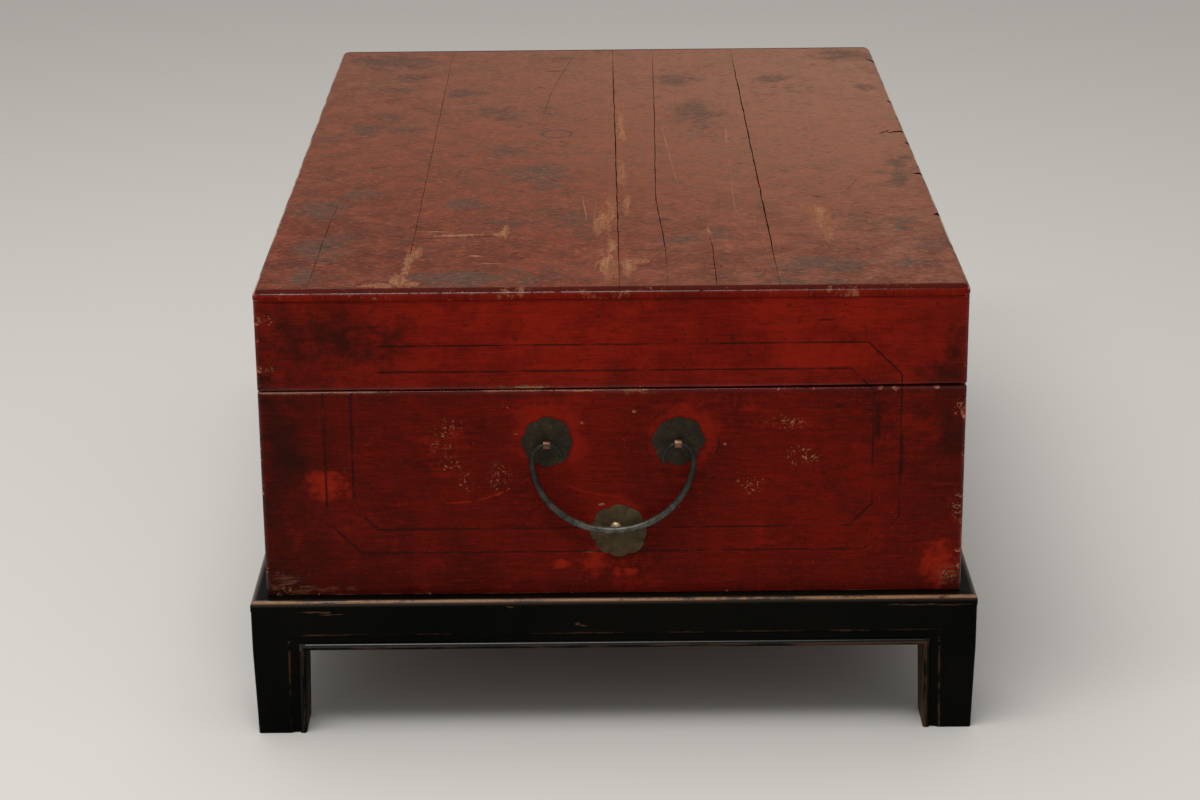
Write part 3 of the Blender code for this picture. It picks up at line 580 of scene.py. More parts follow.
def boarded():
    """Red lacquer of the end and side boards, darker near the corners, with painted shade along the foot and
    the seam, and bare wood inside.
    """
    material, shader, place, colour, height = lacquer("red_lacquer_boards", (24.0, 24.0, 300.0))
    x, y, z = place.parts()
    in_x = trunk_high.x - abs(x)
    in_y = trunk_high.y - abs(y)
    corner = in_x.most(in_y)
    foot = z - trunk_low.z
    seam = abs(z - seam_height)
    near_end = y.fade(near + 0.004, near + 0.001)
    on_lid = z.fade(base_high.z, rim_low.z)
    blur = place.cloud(48.0, 5.0, 0.65)
    speckle = place.cloud(260.0, 4.0, 0.7)
    spotted = speckle - 0.5
    torn = (blur - 0.5) * 1.2 + (place.cloud(125.0, 4.0, 0.7) - 0.5) * 2.4 + (height - 0.67) * 1.2
    ragged = place.ragged(75.0, 0.010)
    frayed = place.ragged(300.0, 0.0022)
    # Darker near the upright corners and towards the left of the near end; painted shade along the foot and
    # along the seam between lid and base.
    grime = (corner.fade(0.075, 0.0) * 0.55 + foot.fade(0.03, 0.0) * 0.35 + seam.fade(0.020, 0.0) * 0.35
             + x.fade(-0.10, -0.24) * y.fade(0.0, -0.35) * 0.55)
    grime = grime * (blur * 0.6 + height * 0.5 + speckle * 0.3).fade(0.46, 1.04)
    warm = any_spot(ragged, warm_marks).broken(torn, 0.10, 0.90, 0.4)
    layers = [(grime * 0.9, RED_GRIME_AND_SHADE), (warm * 0.8, RED_ORANGE)]
    face = place.ragged(70.0, 0.0016).stretch((1.0, 0.0, 1.0))
    for *sizes, ink in SWUNG:
        across, up, radius, left, right = mm(sizes)
        line = abs(face.from_axis((across, 0.0, trunk_low.z + up)) - radius).fade(0.0010, 0.0003)
        drawn = x.fade(left, left + 0.010) * x.fade(right, right - 0.010) * near_end
        seen = z.fade(base_high.z - 0.012, base_high.z - 0.016) * place.cloud(95.0, 3.0).fade(0.40, 0.56)
        layers.append((line * drawn * seen * 0.7, ink))
    scraped = any_spot(ragged, scuffs).broken(torn + spotted * 1.6, 0.24, 0.80, 0.25)
    drags = place.ragged(40.0, 0.003).stretch((60.0, 60.0, 620.0)).cloud(1.0, 3.0, 0.65)
    dirt = any_spot(ragged, dark_marks).broken(torn * 0.7, 0.10, 1.10, 0.5)
    dashed = any_spot(frayed, dark_dashes).broken(spotted * 1.4, 0.15, 0.60, 0.3)
    struck = any_spot(frayed, pale_specks).broken(spotted * 2.0, 0.30, 0.60, 0.2)
    by_plates = any_spot(place.ragged(30.0, 0.024), halos).fade(0.05, 0.6)
    strokes = place.ragged(260.0, 0.004).cloud(520.0, 2.0, 0.6).fade(0.55, 0.63)
    clusters = any_spot(place.ragged(90.0, 0.010), gilt_remains).fade(0.0, 0.6)
    gilded = strokes * clusters * place.cloud(210.0, 2.0).fade(0.42, 0.56)
    layers += [(scraped * drags.fade(0.40, 0.60) * 0.9, SCUFFED), (dirt * 0.8, RED_GRIME_AND_SHADE),
               (dashed * 0.75, RED_GRIME_AND_SHADE), (struck * 0.5, GILT),
               ((by_plates + torn * 0.8).fade(0.30, 1.1) * by_plates * 0.6, RED_BRIGHT),
               (gilded * 0.7, GILT)]
    on_side = in_x.maths("LESS_THAN", in_x, in_y)
    kept = line_kept(place)
    smeared = x.fade(-0.12, -0.15) * (1.0 - on_lid) * near_end
    for spec in (OUTER_LINE, INNER_LINE):
        on_end_off = off_line(x, z, spec, trunk_high.x)
        off = on_end_off + on_side * (off_line(y, z, spec, trunk_high.y) - on_end_off)
        stroke = abs(off + spotted * 0.0022).fade(0.0012 + smeared * 0.0006, 0.0002)
        layers.append((stroke * kept * (0.50 + smeared * 0.10), LINE_INK))
    arris = corner.least(abs(foot)).least(seam - (rim_low.z - base_high.z) / 2)
    rubbing = place.cloud(11.0, 5.0, 0.7) * 0.7 + place.cloud(60.0, 4.0, 0.7) * 0.6
    handled = (x.fade(-0.150, -0.180) + x.fade(-0.100, -0.085) * x.fade(0.036, 0.020)) * near_end
    on_base_arris = z.fade(base_high.z - 0.004, base_high.z - 0.001) * (1.0 - on_lid)
    rubbing = rubbing + on_base_arris * handled * 0.30 - seam.fade(0.006, 0.003) * near_end * 0.12
    worn = (arris + blur * 0.004).fade(0.0036, 0.0022) * rubbing.fade(0.60, 0.78)
    colour = layered(colour, *layers, (worn * 0.55, GROUND_COAT))
    wood, wood_height = wood_grain(place, (6.0, 6.0, 60.0))
    within = in_x.maths("GREATER_THAN", in_x.least(in_y), BOARD - SWELL * 3)
    lay_on(shader, {"Base Color": within.tint(colour, wood),
                    "Roughness": 0.40 + blur * 0.16 + within * 0.22,
                    "Coat Weight": (1.0 - within) * arris.fade(0.0035, 0.0005) * 0.4,
                    "Coat Roughness": 0.12,
                    "Specular IOR Level": 0.035,
                    "Normal": (height + within * wood_height).relief(0.2, 0.0009)})
    return material


def dull(name, colour, roughness, shine):
    """A dull finish for what a cut lays bare; its colour is worked out from the place."""
    material, shader, place = new_finish(name)
    lay_on(shader, {"Base Color": colour(place), "Roughness": roughness, "Specular IOR Level": shine})
    return material


def inked(place):
    """A scribed line: grime caught in the cut, missing here and there."""
    return (line_kept(place) * 0.85).tint(RED_MID, LINE_INK)


def chipped(place):
    """What a chip lays bare: the orange ground under the lacquer, and wood dust."""
    return place.cloud(260.0, 3.0).fade(0.4, 0.66).tint(GROUND_COAT, RED_BRIGHT)


base_nodes = ["base_end_front", "base_end_back", "base_side_right", "base_side_left"]
rim_nodes = ["lid_end_front", "lid_end_back", "lid_side_right", "lid_side_left"]
base_low, base_high = hull(base_nodes)
rim_low, rim_high = hull(rim_nodes)
trunk_low, trunk_high = hull(base_nodes + rim_nodes)
seam_height = (base_high.z + rim_low.z) / 2
near = trunk_low.y


def marks(near_end=(), far_end=(), lock_side=(), hinge_side=()):
    """Marks on the faces: across or along, above the foot, half the width, half the height."""
    spots = []
    for sign, found in ((-1, near_end), (1, far_end)):
        spots += [((x, sign * trunk_high.y, trunk_low.z + up), (wide, MARK_REACH, high))
                  for x, up, wide, high in map(mm, found)]
    for sign, found in ((1, lock_side), (-1, hinge_side)):
        spots += [((sign * trunk_high.x, y, trunk_low.z + up), (MARK_REACH, wide, high))
                  for y, up, wide, high in map(mm, found)]
    return spots


halos = marks(
    near_end=((-44, 122, 42, 42), (50, 120, 40, 40), (4, 54, 36, 30), (150, 178, 60, 20)))
warm_marks = marks(
    near_end=((-203.4, 85.2, 24, 18), (4.6, 15.7, 9, 6), (232, 21.7, 20, 28), (-38.6, 22.7, 10, 5),
              (-12, 26, 14, 16), (12, 18, 12, 5)),
    far_end=((160, 87.7, 22, 15), (-120, 37.7, 26, 10)),
    lock_side=((-210, 67.7, 30, 16), (270, 187.7, 40, 10)),
    hinge_side=((100, 47.7, 34, 12), (-310, 117.7, 22, 22)))
scuffs = marks(
    near_end=((-236, 12, 16, 10), (-215, 4.2, 36, 5), (20, 153.2, 34, 3.5), (-60, 157.7, 28, 3),
              (240, 10.7, 12, 12)),
    far_end=((230, 10.7, 26, 12), (-236, 197.7, 16, 12)),
    lock_side=((385, 22.7, 18, 22), (-200, 2.7, 50, 6)),
    hinge_side=((388, 182.7, 16, 20), (20, 3.7, 60, 6)))
dark_marks = marks(
    near_end=((230, 166, 32, 16), (242, 180.2, 16, 34), (-185, 194, 82, 47), (-229, 108, 23, 42),
              (239, 122, 20, 42)),
    far_end=((-225, 170, 30, 14), (205, 60, 36, 30)),
    lock_side=((-350, 100, 40, 40), (300, 190, 60, 16)),
    hinge_side=((340, 70, 50, 40), (-250, 200, 70, 14)))
dark_dashes = marks(
    near_end=((149.6, 204.7, 9, 1.4), (160.7, 141, 4.2, 3.4), (187.6, 130, 3, 25), (205, 104, 2, 28)))
pale_specks = marks(
    near_end=((15.3, 138, 2, 1.4), (79.4, 113.4, 1.8, 1.6), (-21.4, 130.1, 2, 1.4),
              (-68.2, 122.4, 1.8, 0.9), (-8.7, 68.4, 4.2, 1.4), (-15.4, 32.4, 9, 1), (-74, 142, 1, 1),
              (-57, 157.2, 20, 1.2), (-20, 154.1, 14, 0.8)))
GILT_PLACES = (
    (-118, 126.7, 14, 8), (-121, 113.7, 10, 7), (-115, 100.7, 11, 7), (-80, 88.7, 10, 15),
    (125, 128.7, 19, 7), (135, 104.7, 15, 9), (98, 81.7, 13, 9), (-105, 85.7, 7, 11), (-240.5, 208, 7, 6),
    (-242.5, 171.3, 6, 5), (244, 139.7, 7, 8), (244, 62.7, 6, 12), (240, 12, 8, 8), (-238, 6, 9, 4),
)
gilt_draw = Random(5)
drawn_places = [[(gilt_draw.uniform(-260, 260), gilt_draw.uniform(73, 143), 16, 8) for _ in range(7)]
                for _ in range(2)]
gilt_remains = marks(near_end=GILT_PLACES, far_end=[(-x, *rest) for x, *rest in GILT_PLACES],
                     hinge_side=drawn_places[0], lock_side=drawn_places[1])
SWUNG = (
    (-117.2, 168.6, 98.2, -124, -56, RED_ORANGE), (9.8, 178.5, 104.4, -36, 12, RED_BRIGHT),
    (51, 116, 24.5, 56, 84, LINE_INK), (51, 116, 27.2, 18, 84, RED_GRIME_AND_SHADE),
)

board_red = boarded()
line_finish = dull("scribed_line", inked, 0.7, 0.1)
chip_finish = dull("chipped_ground", chipped, 0.75, 0.15)

line_cutter = bmesh.new()
for spec in (OUTER_LINE, INNER_LINE):
    for sign in (-1, 1):
        scribed_frame(line_cutter, Vector((1, 0, 0)), Vector((0, sign, 0)), spec, trunk_high.x, trunk_high.y)
        scribed_frame(line_cutter, Vector((0, 1, 0)), Vector((sign, 0, 0)), spec, trunk_high.y, trunk_high.x)
line_tool = new_object("line_tool", faced_out(line_cutter), line_finish)

KNOCKS = (
    (-247.5, 207, 4.5), (-248, 171.7, 4), (-248.2, 193.7, 2.5), (248, 146.9, 4), (248.2, 135.7, 5),
    (248, 73.1, 5), (248.5, 54, 4), (248, 31, 4.5), (247.5, 19.4, 3.5), (-241.2, 0.7, 4),
    (-210.3, 0.3, 3.4), (-133.9, 0.3, 3.4), (-47.4, 0.3, 2.8), (-30.1, 0.3, 2.8), (81.6, 0.3, 2.4),
    (116.8, 154.7, 2.2), (141.4, 154.7, 2.4), (188.6, 154.7, 3), (199.9, 154.5, 3.6), (228, 154.7, 3),
    (19.6, 154.9, 3), (-54.2, 156.1, 1.8), (-35, 156.1, 1.8),
)
knocks = [(x, near, trunk_low.z + up, size) for x, up, size in map(mm, KNOCKS)]
knock_draw = Random(11)
for _ in range(60):
    upright = knock_draw.random() < 0.5
    corner_x = knock_draw.choice((-1, 1)) * (trunk_high.x - KNOCK_IN)
    corner_y = knock_draw.choice((-1, 1)) * (trunk_high.y - KNOCK_IN)
    height = knock_draw.uniform(trunk_low.z, rim_high.z)
    level = knock_draw.choice((base_low.z, base_high.z, rim_low.z))
    size = knock_draw.uniform(0.0012, 0.0032)
    if upright:
        knocks.append((corner_x, corner_y, height, size))
    elif knock_draw.random() < 0.35:
        knocks.append((knock_draw.uniform(-KNOCK_SPREAD[0], KNOCK_SPREAD[0]), corner_y, level, size))
    else:
        knocks.append((corner_x, knock_draw.uniform(-KNOCK_SPREAD[1], KNOCK_SPREAD[1]), level, size))
chip_cutter = bmesh.new()
for number, (x, y, z, size) in enumerate(knocks):
    chip(chip_cutter, Vector((x, y, z)), [size * share for share in KNOCK_SHAPE], number)
chip_tool = new_object("chip_tool", chip_cutter, chip_finish)

for nodes, low, high, top, foot in ((base_nodes, base_low, base_high, ARRIS_ROUND, ARRIS_ROUND),
                                    (rim_nodes, rim_low, rim_high, 0.0, ARRIS_ROUND)):
    envelope = rounded_box(low, high, CORNER_ROUND, top, foot)
    sliced(envelope, BOARD_STEP)
    sink(envelope, BOARD_UNEVEN, BOARD_WAVE)
    if nodes == rim_nodes:
        for vert in envelope.verts:
            across = max(0.0, (vert.co.x - LIFT_START[0]) / LIFT_REACH[0])
            along = max(0.0, (LIFT_START[1] - vert.co.y) / LIFT_REACH[1])
            if vert.co.z < low.z + LIFT_BAND:
                vert.co.z += LID_LIFT * across ** 2 * along
    lacquered(nodes, envelope, board_red, (line_tool, chip_tool))
for tool in (line_tool, chip_tool):
    bpy.data.objects.remove(tool)


# Lid top: four boards nailed down lengthwise over the rim, their ends and outer edges rounded to a nose.
# The lacquer is hazy and crazed; joints and shakes stand open, and scratches show the wood.
NOSE_CORNER = 0.0080
NOSE_ROUND = 0.0049
TOP_UNEVEN = 0.00032
TOP_WAVE = 9.0
SCORE_STEP = 0.010
SCORE_RAISE = 0.0003
SCORE_WANDER = 0.0006
JOINT_DEPTH = 0.0035
JOINT_OVERRUN = 0.002
SHAKE_DEPTH = 0.0030
SCRATCH_DEPTH = 0.00040
NICK_DROP = 0.0012
NICK_ACROSS = 0.2505
NICK_ALONG = 0.39
TOP_RED = (0.205, 0.037, 0.0145, 1)
TOP_GREY = (0.124, 0.058, 0.0310, 1)
TOP_DARK = (0.085, 0.0150, 0.0075, 1)
TOP_PALE = (0.275, 0.130, 0.0800, 1)
SMUDGE = (0.072, 0.052, 0.040, 1)
STAIN = (0.048, 0.044, 0.043, 1)
NOSE_SHADE_RED = (0.040, 0.0040, 0.0015, 1)
EDGE_HIGHLIGHT_AND_WEAR = (0.52, 0.41, 0.31, 1)
SCUFFED_WOOD = (0.32, 0.150, 0.076, 1)
WOOD_SHADE = (0.190, 0.072, 0.036, 1)
JOINT_WIDTHS = (0.0005, 0.0010, 0.0012)
SHAKES = (
    ([(44, 400), (40.2, 105), (38.6, 23.5), (36, -162), (36.9, -190), (38.9, -254), (40.2, -298),
      (39.7, -402.5)], 0.8),
    ([(-209, -148), (-211.8, -260), (-212.5, -402.5)], 0.5),
    ([(74.1, -262), (74.5, -330), (74.1, -402.5)], 0.7),
    ([(-29.5, 377), (-40.1, 299), (-50.8, 205), (-55.5, 109)], 0.4),
    ([(-144.3, -266), (-122, -264), (-80, -260)], 1.2), ([(150, -150), (172, -162)], 0.8),
    ([(170, -158), (185, -151)], 0.6), ([(-58, 303), (-37, 304.5)], 2.6),
    ([(180, -150), (205, -80)], 0.4), ([(198, 175), (212, 178), (237.6, 193)], 0.8),
    ([(165, 240), (192, 260)], 0.8), ([(209.7, 254.7), (224.4, 245.8)], 0.9),
    ([(194, 138), (203, 136)], 0.8), ([(12, -298), (34, -306)], 0.8), ([(140, -250), (156, -249)], 0.7),
)
SCRATCHES = (
    ([(99.5, 75), (98.5, 20)], 2.4), ([(98.5, 20), (95.5, -178), (98.3, -216)], 0.9),
    ([(44.5, 110), (47.1, 45.6), (50.3, -36.8), (54.2, -109)], 1.4),
    ([(-144.7, -244.3), (-115.4, -248.1)], 2.2), ([(-128, -259), (-94, -254.5)], 4),
    ([(-102.3, -313), (-92.8, -313.9)], 6), ([(-100.9, -334.2), (-78, -332.4)], 2.2),
    ([(-21.2, -141), (-17.2, -218)], 1.2), ([(-10, -160), (-12, -235)], 1),
)
BARE_PATCHES = (
    (11, 115, 5, 65), (11.8, 60, 6, 45), (10.6, -76, 5.5, 62), (1.5, -190, 6, 70), (-4, -215, 8, 55),
    (-9.5, -232, 5, 36), (1, -290, 5, 36), (-1.5, -325, 9, 50), (-3, -352, 12, 36), (12.5, -345, 8, 34),
    (17, -330, 15, 10), (13.5, -175, 4, 40), (-141, -304, 5, 22), (-145.2, -335, 4.5, 60),
    (-150, -374, 10, 20), (-162, -387, 22, 9), (-112.7, -258, 26, 7), (-139.5, -384, 7, 10),
    (-78.5, -250, 4.5, 26), (-81.5, -256, 8, 10), (159, -196, 14, 24), (159, -228, 10, 40),
    (162, -258, 7, 36), (74.1, -252, 3, 20),
)
SMUDGES = (
    (-202, 345, 60, 45), (-179, 280, 24, 30), (-192, 235, 34, 24), (-210, 75, 36, 50), (-173, 72, 26, 28),
    (-97, 137, 30, 40), (-85, -10, 26, 40), (-134, 220, 26, 30), (62, 268, 36, 30), (71, 120, 44, 90),
    (151, 262, 30, 26), (222, 360, 44, 45), (236, 228, 16, 26), (238, -48, 20, 45), (-226, -175, 34, 60),
    (-190, -137, 30, 30), (-112, -168, 30, 28), (-100, -372, 90, 30), (55, -276, 18, 28),
    (86, -268, 26, 34), (229, -94, 18, 36), (220, -234, 18, 36), (226, -292, 30, 22), (153, -340, 60, 26),
    (211, -342, 34, 26), (-205, -290, 34, 60), (-55, -80, 50, 60), (130, -390, 60, 20),
    (-222, -360, 24, 50),
)
NICKS = (
    (244, 55, 8, 3, 3.2), (234, 56, 6, 1.4, 2), (249, 334, 2, 8, 2), (248.5, 169, 2.4, 3, 2),
    (248.5, 16, 2.4, 6, 2), (248.5, -85, 2.2, 10, 2), (249, -208, 2, 6, 2), (249, -320, 2.6, 2.6, 2),
)
STAIN_PLACE = (-0.043, 0.058)
STAIN_RADIUS = 0.0125


def worn_height(spot):
    """The height of the uneven top at a place."""
    return top_high.z - TOP_UNEVEN * (0.5 + 0.5 * noise.noise(Vector((*spot, top_high.z)) * TOP_WAVE))


def score(bm, path, width, depth):
    """Adds the cutter of a crack: a wedge that follows a path over the top and thins out at its ends."""
    points = []
    for start, end in zip(path, path[1:]):
        pieces = max(2, int((Vector(end) - Vector(start)).length / SCORE_STEP))
        points += [Vector(start).lerp(Vector(end), i / pieces) for i in range(pieces)]
    points.append(Vector(path[-1]))
    run = (points[-1] - points[0]).normalized()
    side = Vector((run.y, -run.x))
    rings = []
    for i, point in enumerate(points):
        share = i / (len(points) - 1)
        uneven = 0.75 + 0.5 * noise.noise(point.to_3d() * 60)
        full = max(0.2, min(1.0, 6 * share, 6 * (1 - share)) * uneven)
        middle = point + side * noise.noise(point.to_3d() * 35) * SCORE_WANDER
        height = worn_height(middle)
        spread = side * width / 2 * full * (1 + SCORE_RAISE / (depth * full))
        rings.append([bm.verts.new((*(middle + spread), height + SCORE_RAISE)),
                      bm.verts.new((*(middle - spread), height + SCORE_RAISE)),
                      bm.verts.new((*middle, height - depth * full))])
    bridge(bm, rings, capped=True)


def dirty(place):
    """What shows in an open joint or shake: wood gone black with dust."""
    return place.cloud(150.0, 3.0).fade(0.4, 0.7).tint(LINE_INK, RED_GRIME_AND_SHADE)


def scratched(place):
    """Wood laid bare by a scratch."""
    grain = place.stretch((300.0, 30.0, 300.0)).cloud(1.0, 3.0).fade(0.4, 0.65)
    return (0.4 + grain * 0.6).tint(SCUFFED_WOOD, WOOD_SHADE)


def top_marks(marks, reach):
    """Marks on the top: across, along, half the width, half the length."""
    return [((x, y, top_high.z), (wide, long, reach)) for x, y, wide, long in map(mm, marks)]


def hazy_top():
    """The lid's top: red lacquer crazed across the boards under a grey haze, smudged and scraped bare, with
    a painted reflection towards the back, painted shade towards the front and on the nose, and a painted
    highlight along the side edges.
    """
    material, shader, place, colour, height = lacquer("red_lacquer_top", (330.0, 16.0, 16.0))
    x, y, z = place.parts()
    broad = place.cloud(7.0, 4.0, 0.6)
    blur = place.cloud(44.0, 5.0, 0.65)
    crazing = place.stretch((64.0, 400.0, 60.0)).cloud(1.0, 4.0, 0.7)
    specks = place.stretch((230.0, 520.0, 200.0)).cloud(1.0, 3.0, 0.7)
    strokes = place.ragged(40.0, 0.006).stretch((110.0, 560.0, 100.0)).cloud(1.0, 3.0, 0.6)
    grain = place.stretch((330.0, 24.0, 40.0)).cloud(1.0, 3.0, 0.6)
    hazed = broad * 0.5 + blur * 0.5 + crazing * 0.7 + specks * 1.1
    # Painted reflection, paler towards the back and the right; painted shade, darker towards the front and
    # the left.
    reflected_paler = x.fade(-0.10, 0.25) * 0.5 + y.fade(-0.20, 0.40) * 0.5
    shaded = y.fade(0.02, -0.40) * 0.72 + x.fade(0.02, -0.25) * 0.40
    smudges = any_spot(place.ragged(17.0, 0.060).ragged(60.0, 0.024), top_marks(SMUDGES, 0.1))
    streaky = (crazing - 0.5) * 1.8 + (blur - 0.5) * 1.8 + (specks - 0.5) * 1.4
    dusky = smudges.most(place.cloud(12.0, 6.0, 0.68).fade(0.46, 0.72) * 0.5)
    smeared = dusky.broken(streaky, 0.05, 1.0, 0.45)
    offset = place.stretch((1.0, 1.0, 0.0)).from_axis((*STAIN_PLACE, 0.0))
    ring = abs(offset - STAIN_RADIUS + (blur - 0.5) * 0.003).fade(0.0020, 0.0006)
    flaked = (grain - 0.5) * 2.2 + (blur - 0.5) * 1.4 + (place.cloud(230.0, 4.0, 0.7) - 0.5) * 1.6
    patches = any_spot(place.ragged(110.0, 0.006), top_marks(BARE_PATCHES, 0.03))
    bare = patches.broken(flaked, 0.30, 0.44, 0.2)
    haze = layered(hazed.fade(1.14, 1.66).tint(TOP_RED, TOP_GREY), (reflected_paler * 0.85, TOP_PALE),
                   (shaded * (blur + specks * 0.5).fade(0.40, 0.95), TOP_DARK), (smeared * 0.72, SMUDGE),
                   (crazing.fade(0.54, 0.72) * 0.45, SMUDGE), (crazing.fade(0.47, 0.30) * 0.5, TOP_DARK),
                   (specks.fade(0.52, 0.66) * 0.5, SMUDGE), (specks.fade(0.48, 0.34) * 0.35, TOP_PALE),
                   (strokes.fade(0.58, 0.68) * blur.fade(0.38, 0.58) * 0.7, RED_GRIME_AND_SHADE),
                   (strokes.fade(0.42, 0.30) * broad.fade(0.36, 0.60) * 0.6, RED_ORANGE),
                   (ring * (0.5 + specks * 0.5), STAIN),
                   (bare * 0.75, (grain + specks * 0.4).fade(0.5, 0.85).tint(SCUFFED_WOOD, WOOD_SHADE)))
    in_x = top_high.x - abs(x)
    in_y = top_high.y - abs(y)
    below = top_high.z - z
    # On the nose the haze gives way to the lacquer, darkened by painted shade, most on the shoulder just
    # below the top.
    level = ((in_x * 2.2).least(in_y * 0.58) + (blur - 0.5) * 0.0016).fade(0.0040, 0.0050)
    shoulder_shade = below.fade(0.0026, 0.0016)
    chafed = blur * 0.7 + place.ragged(90.0, 0.006).cloud(210.0, 4.0, 0.7) * 0.7
    # A pale line along the side edges: a painted highlight, partly rubbed wear, broken up by noise.
    edge = in_x.fade(0.0028, 0.0016) * below.fade(0.0042, 0.0032)
    rubbed = place.cloud(19.0, 5.0, 0.72).fade(0.40, 0.56) * (blur + specks * 0.3).fade(0.46, 0.68)
    colour = layered(level.tint((0.35 + shoulder_shade * 0.55).tint(colour, NOSE_SHADE_RED), haze),
                     (chafed.fade(0.78, 0.92) * (1.0 - level) * 0.45, SCUFFED_WOOD),
                     (edge * (0.15 + rubbed * 0.75), EDGE_HIGHLIGHT_AND_WEAR))
    wood, wood_height = wood_grain(place, (60.0, 6.0, 60.0))
    within = z.maths("LESS_THAN", z, top_low.z + TOP_UNEVEN + SWELL) * in_x.least(in_y).fade(0.0008, 0.0012)
    lit = in_y.fade(0.0050, 0.0036) * below.fade(0.0015, 0.0020) * (1.0 - within)
    lit = lit * below.fade(0.0031, 0.0026) * (0.2 + x.fade(0.24, -0.22) * 0.5)
    lay_on(shader, {"Base Color": within.tint(colour, wood),
                    "Roughness": 0.42 + blur * 0.16 + smeared * 0.12 + bare * 0.25 + within * 0.2,
                    "Coat Weight": lit * (blur + specks * 0.6).fade(0.62, 0.84),
                    "Coat Roughness": 0.12,
                    "Specular IOR Level": 0.025,
                    "Normal": (height * 0.5 + crazing * 0.35 + bare * -0.5).relief(0.25, 0.0009)})
    return material


top_nodes = [f"lid_top_board_{number}" for number in range(1, 5)]
top_low, top_high = hull(top_nodes)
top_red = hazy_top()
crack_finish = dull("crack_dirt", dirty, 0.85, 0.05)
crack_cutter = bmesh.new()
for one, other, width in zip(top_nodes, top_nodes[1:], JOINT_WIDTHS):
    joint = (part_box(one)[1].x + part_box(other)[0].x) / 2
    run = [(joint, top_low.y - JOINT_OVERRUN), (joint, top_high.y + JOINT_OVERRUN)]
    score(crack_cutter, run, width, JOINT_DEPTH)
for path, width in SHAKES:
    score(crack_cutter, list(map(mm, path)), width / 1000, SHAKE_DEPTH)
crack_tool = new_object("crack_tool", faced_out(crack_cutter), crack_finish)
scratch_finish = dull("scuffed_wood", scratched, 0.7, 0.15)
scratch_cutter = bmesh.new()
for path, width in SCRATCHES:
    score(scratch_cutter, list(map(mm, path)), width / 1000, SCRATCH_DEPTH)
scratch_tool = new_object("scratch_tool", faced_out(scratch_cutter), scratch_finish)
nick_cutter = bmesh.new()
nicks = [(x, y, size) for x, y, *size in map(mm, NICKS)]
nick_draw = Random(23)
for _ in range(16):
    size = nick_draw.uniform(0.0010, 0.0026)
    side = nick_draw.choice((-NICK_ACROSS, NICK_ACROSS))
    nicks.append((side, nick_draw.uniform(-NICK_ALONG, NICK_ALONG), (size, size * 1.4, size)))
for number, (x, y, size) in enumerate(nicks):
    chip(nick_cutter, Vector((x, y, top_high.z - NICK_DROP)), size, 200 + number)
nick_tool = new_object("nick_tool", nick_cutter, crack_finish)

top_envelope = rounded_box(top_low, top_high, NOSE_CORNER, NOSE_ROUND, 0.0)
sliced(top_envelope, BOARD_STEP)
sink(top_envelope, TOP_UNEVEN, TOP_WAVE)
top_tools = (crack_tool, scratch_tool, nick_tool)
lacquered(top_nodes, top_envelope, top_red, top_tools)
for tool in top_tools:
    bpy.data.objects.remove(tool)


# Handle plates: thin brass cut into eight petals, the parting lines chased in from the notches, gone
# nearly black.  A split pin through the middle, or a dome-headed nail, holds each to its end board.
PETALS = 8
PETAL_COLUMNS = 16
PETAL_NOTCH = 0.0017
PLATE_FOOT = 0.0003
PLATE_EDGE = 0.0008
PLATE_DOME = 0.0009
CHASE_DEPTH = 0.00030
PETAL_SWELL = 0.00022
PLATE_BEATEN = 0.00010
PIN_SLOT = (0.0029, 0.0017)
NAIL_HOLE = 0.0003
PLATE_RINGS = (0.0, 0.16, 0.34, 0.52, 0.68, 0.82, 0.92, 0.98, 1.0)
BRASS_BLACK = (0.0155, 0.0110, 0.0064, 1)
BRASS_BROWN = (0.034, 0.0245, 0.0135, 1)
BRASS_RUBBED = (0.120, 0.090, 0.048, 1)
REST_DARK = (0.046, 0.029, 0.0130, 1)
REST_BROWN = (0.084, 0.056, 0.0260, 1)


def old_brass(name, dark, brown, rubbed, metal, shine):
    """Brass under a dull brown-black skin, rubbed brighter in streaks."""
    material, shader, place = new_finish(name)
    skin = place.cloud(95.0, 6.0, 0.65)
    specks = place.cloud(620.0, 3.0, 0.6)
    strokes = place.stretch((1400.0, 300.0, 300.0)).cloud(1.0, 2.0)
    tone = (skin + specks * 0.3).fade(0.46, 0.84)
    bright = (skin * 0.7 + strokes * 0.6).fade(0.72, 0.94)
    lay_on(shader, {"Base Color": (bright * 0.45).tint(tone.tint(dark, brown), rubbed),
                    "Metallic": metal - specks.fade(0.5, 0.75) * metal * 0.4,
                    "Roughness": shine + skin * 0.22 + specks * 0.1,
                    "Specular IOR Level": 0.2,
                    "Normal": (skin + specks * 0.3).relief(0.2, 0.0005)})
    return material


def facing(turns):
    """Turns a piece modelled facing -Y to face front, right, back or left."""
    return Matrix.Rotation(turns * pi / 2, 4, "Z")


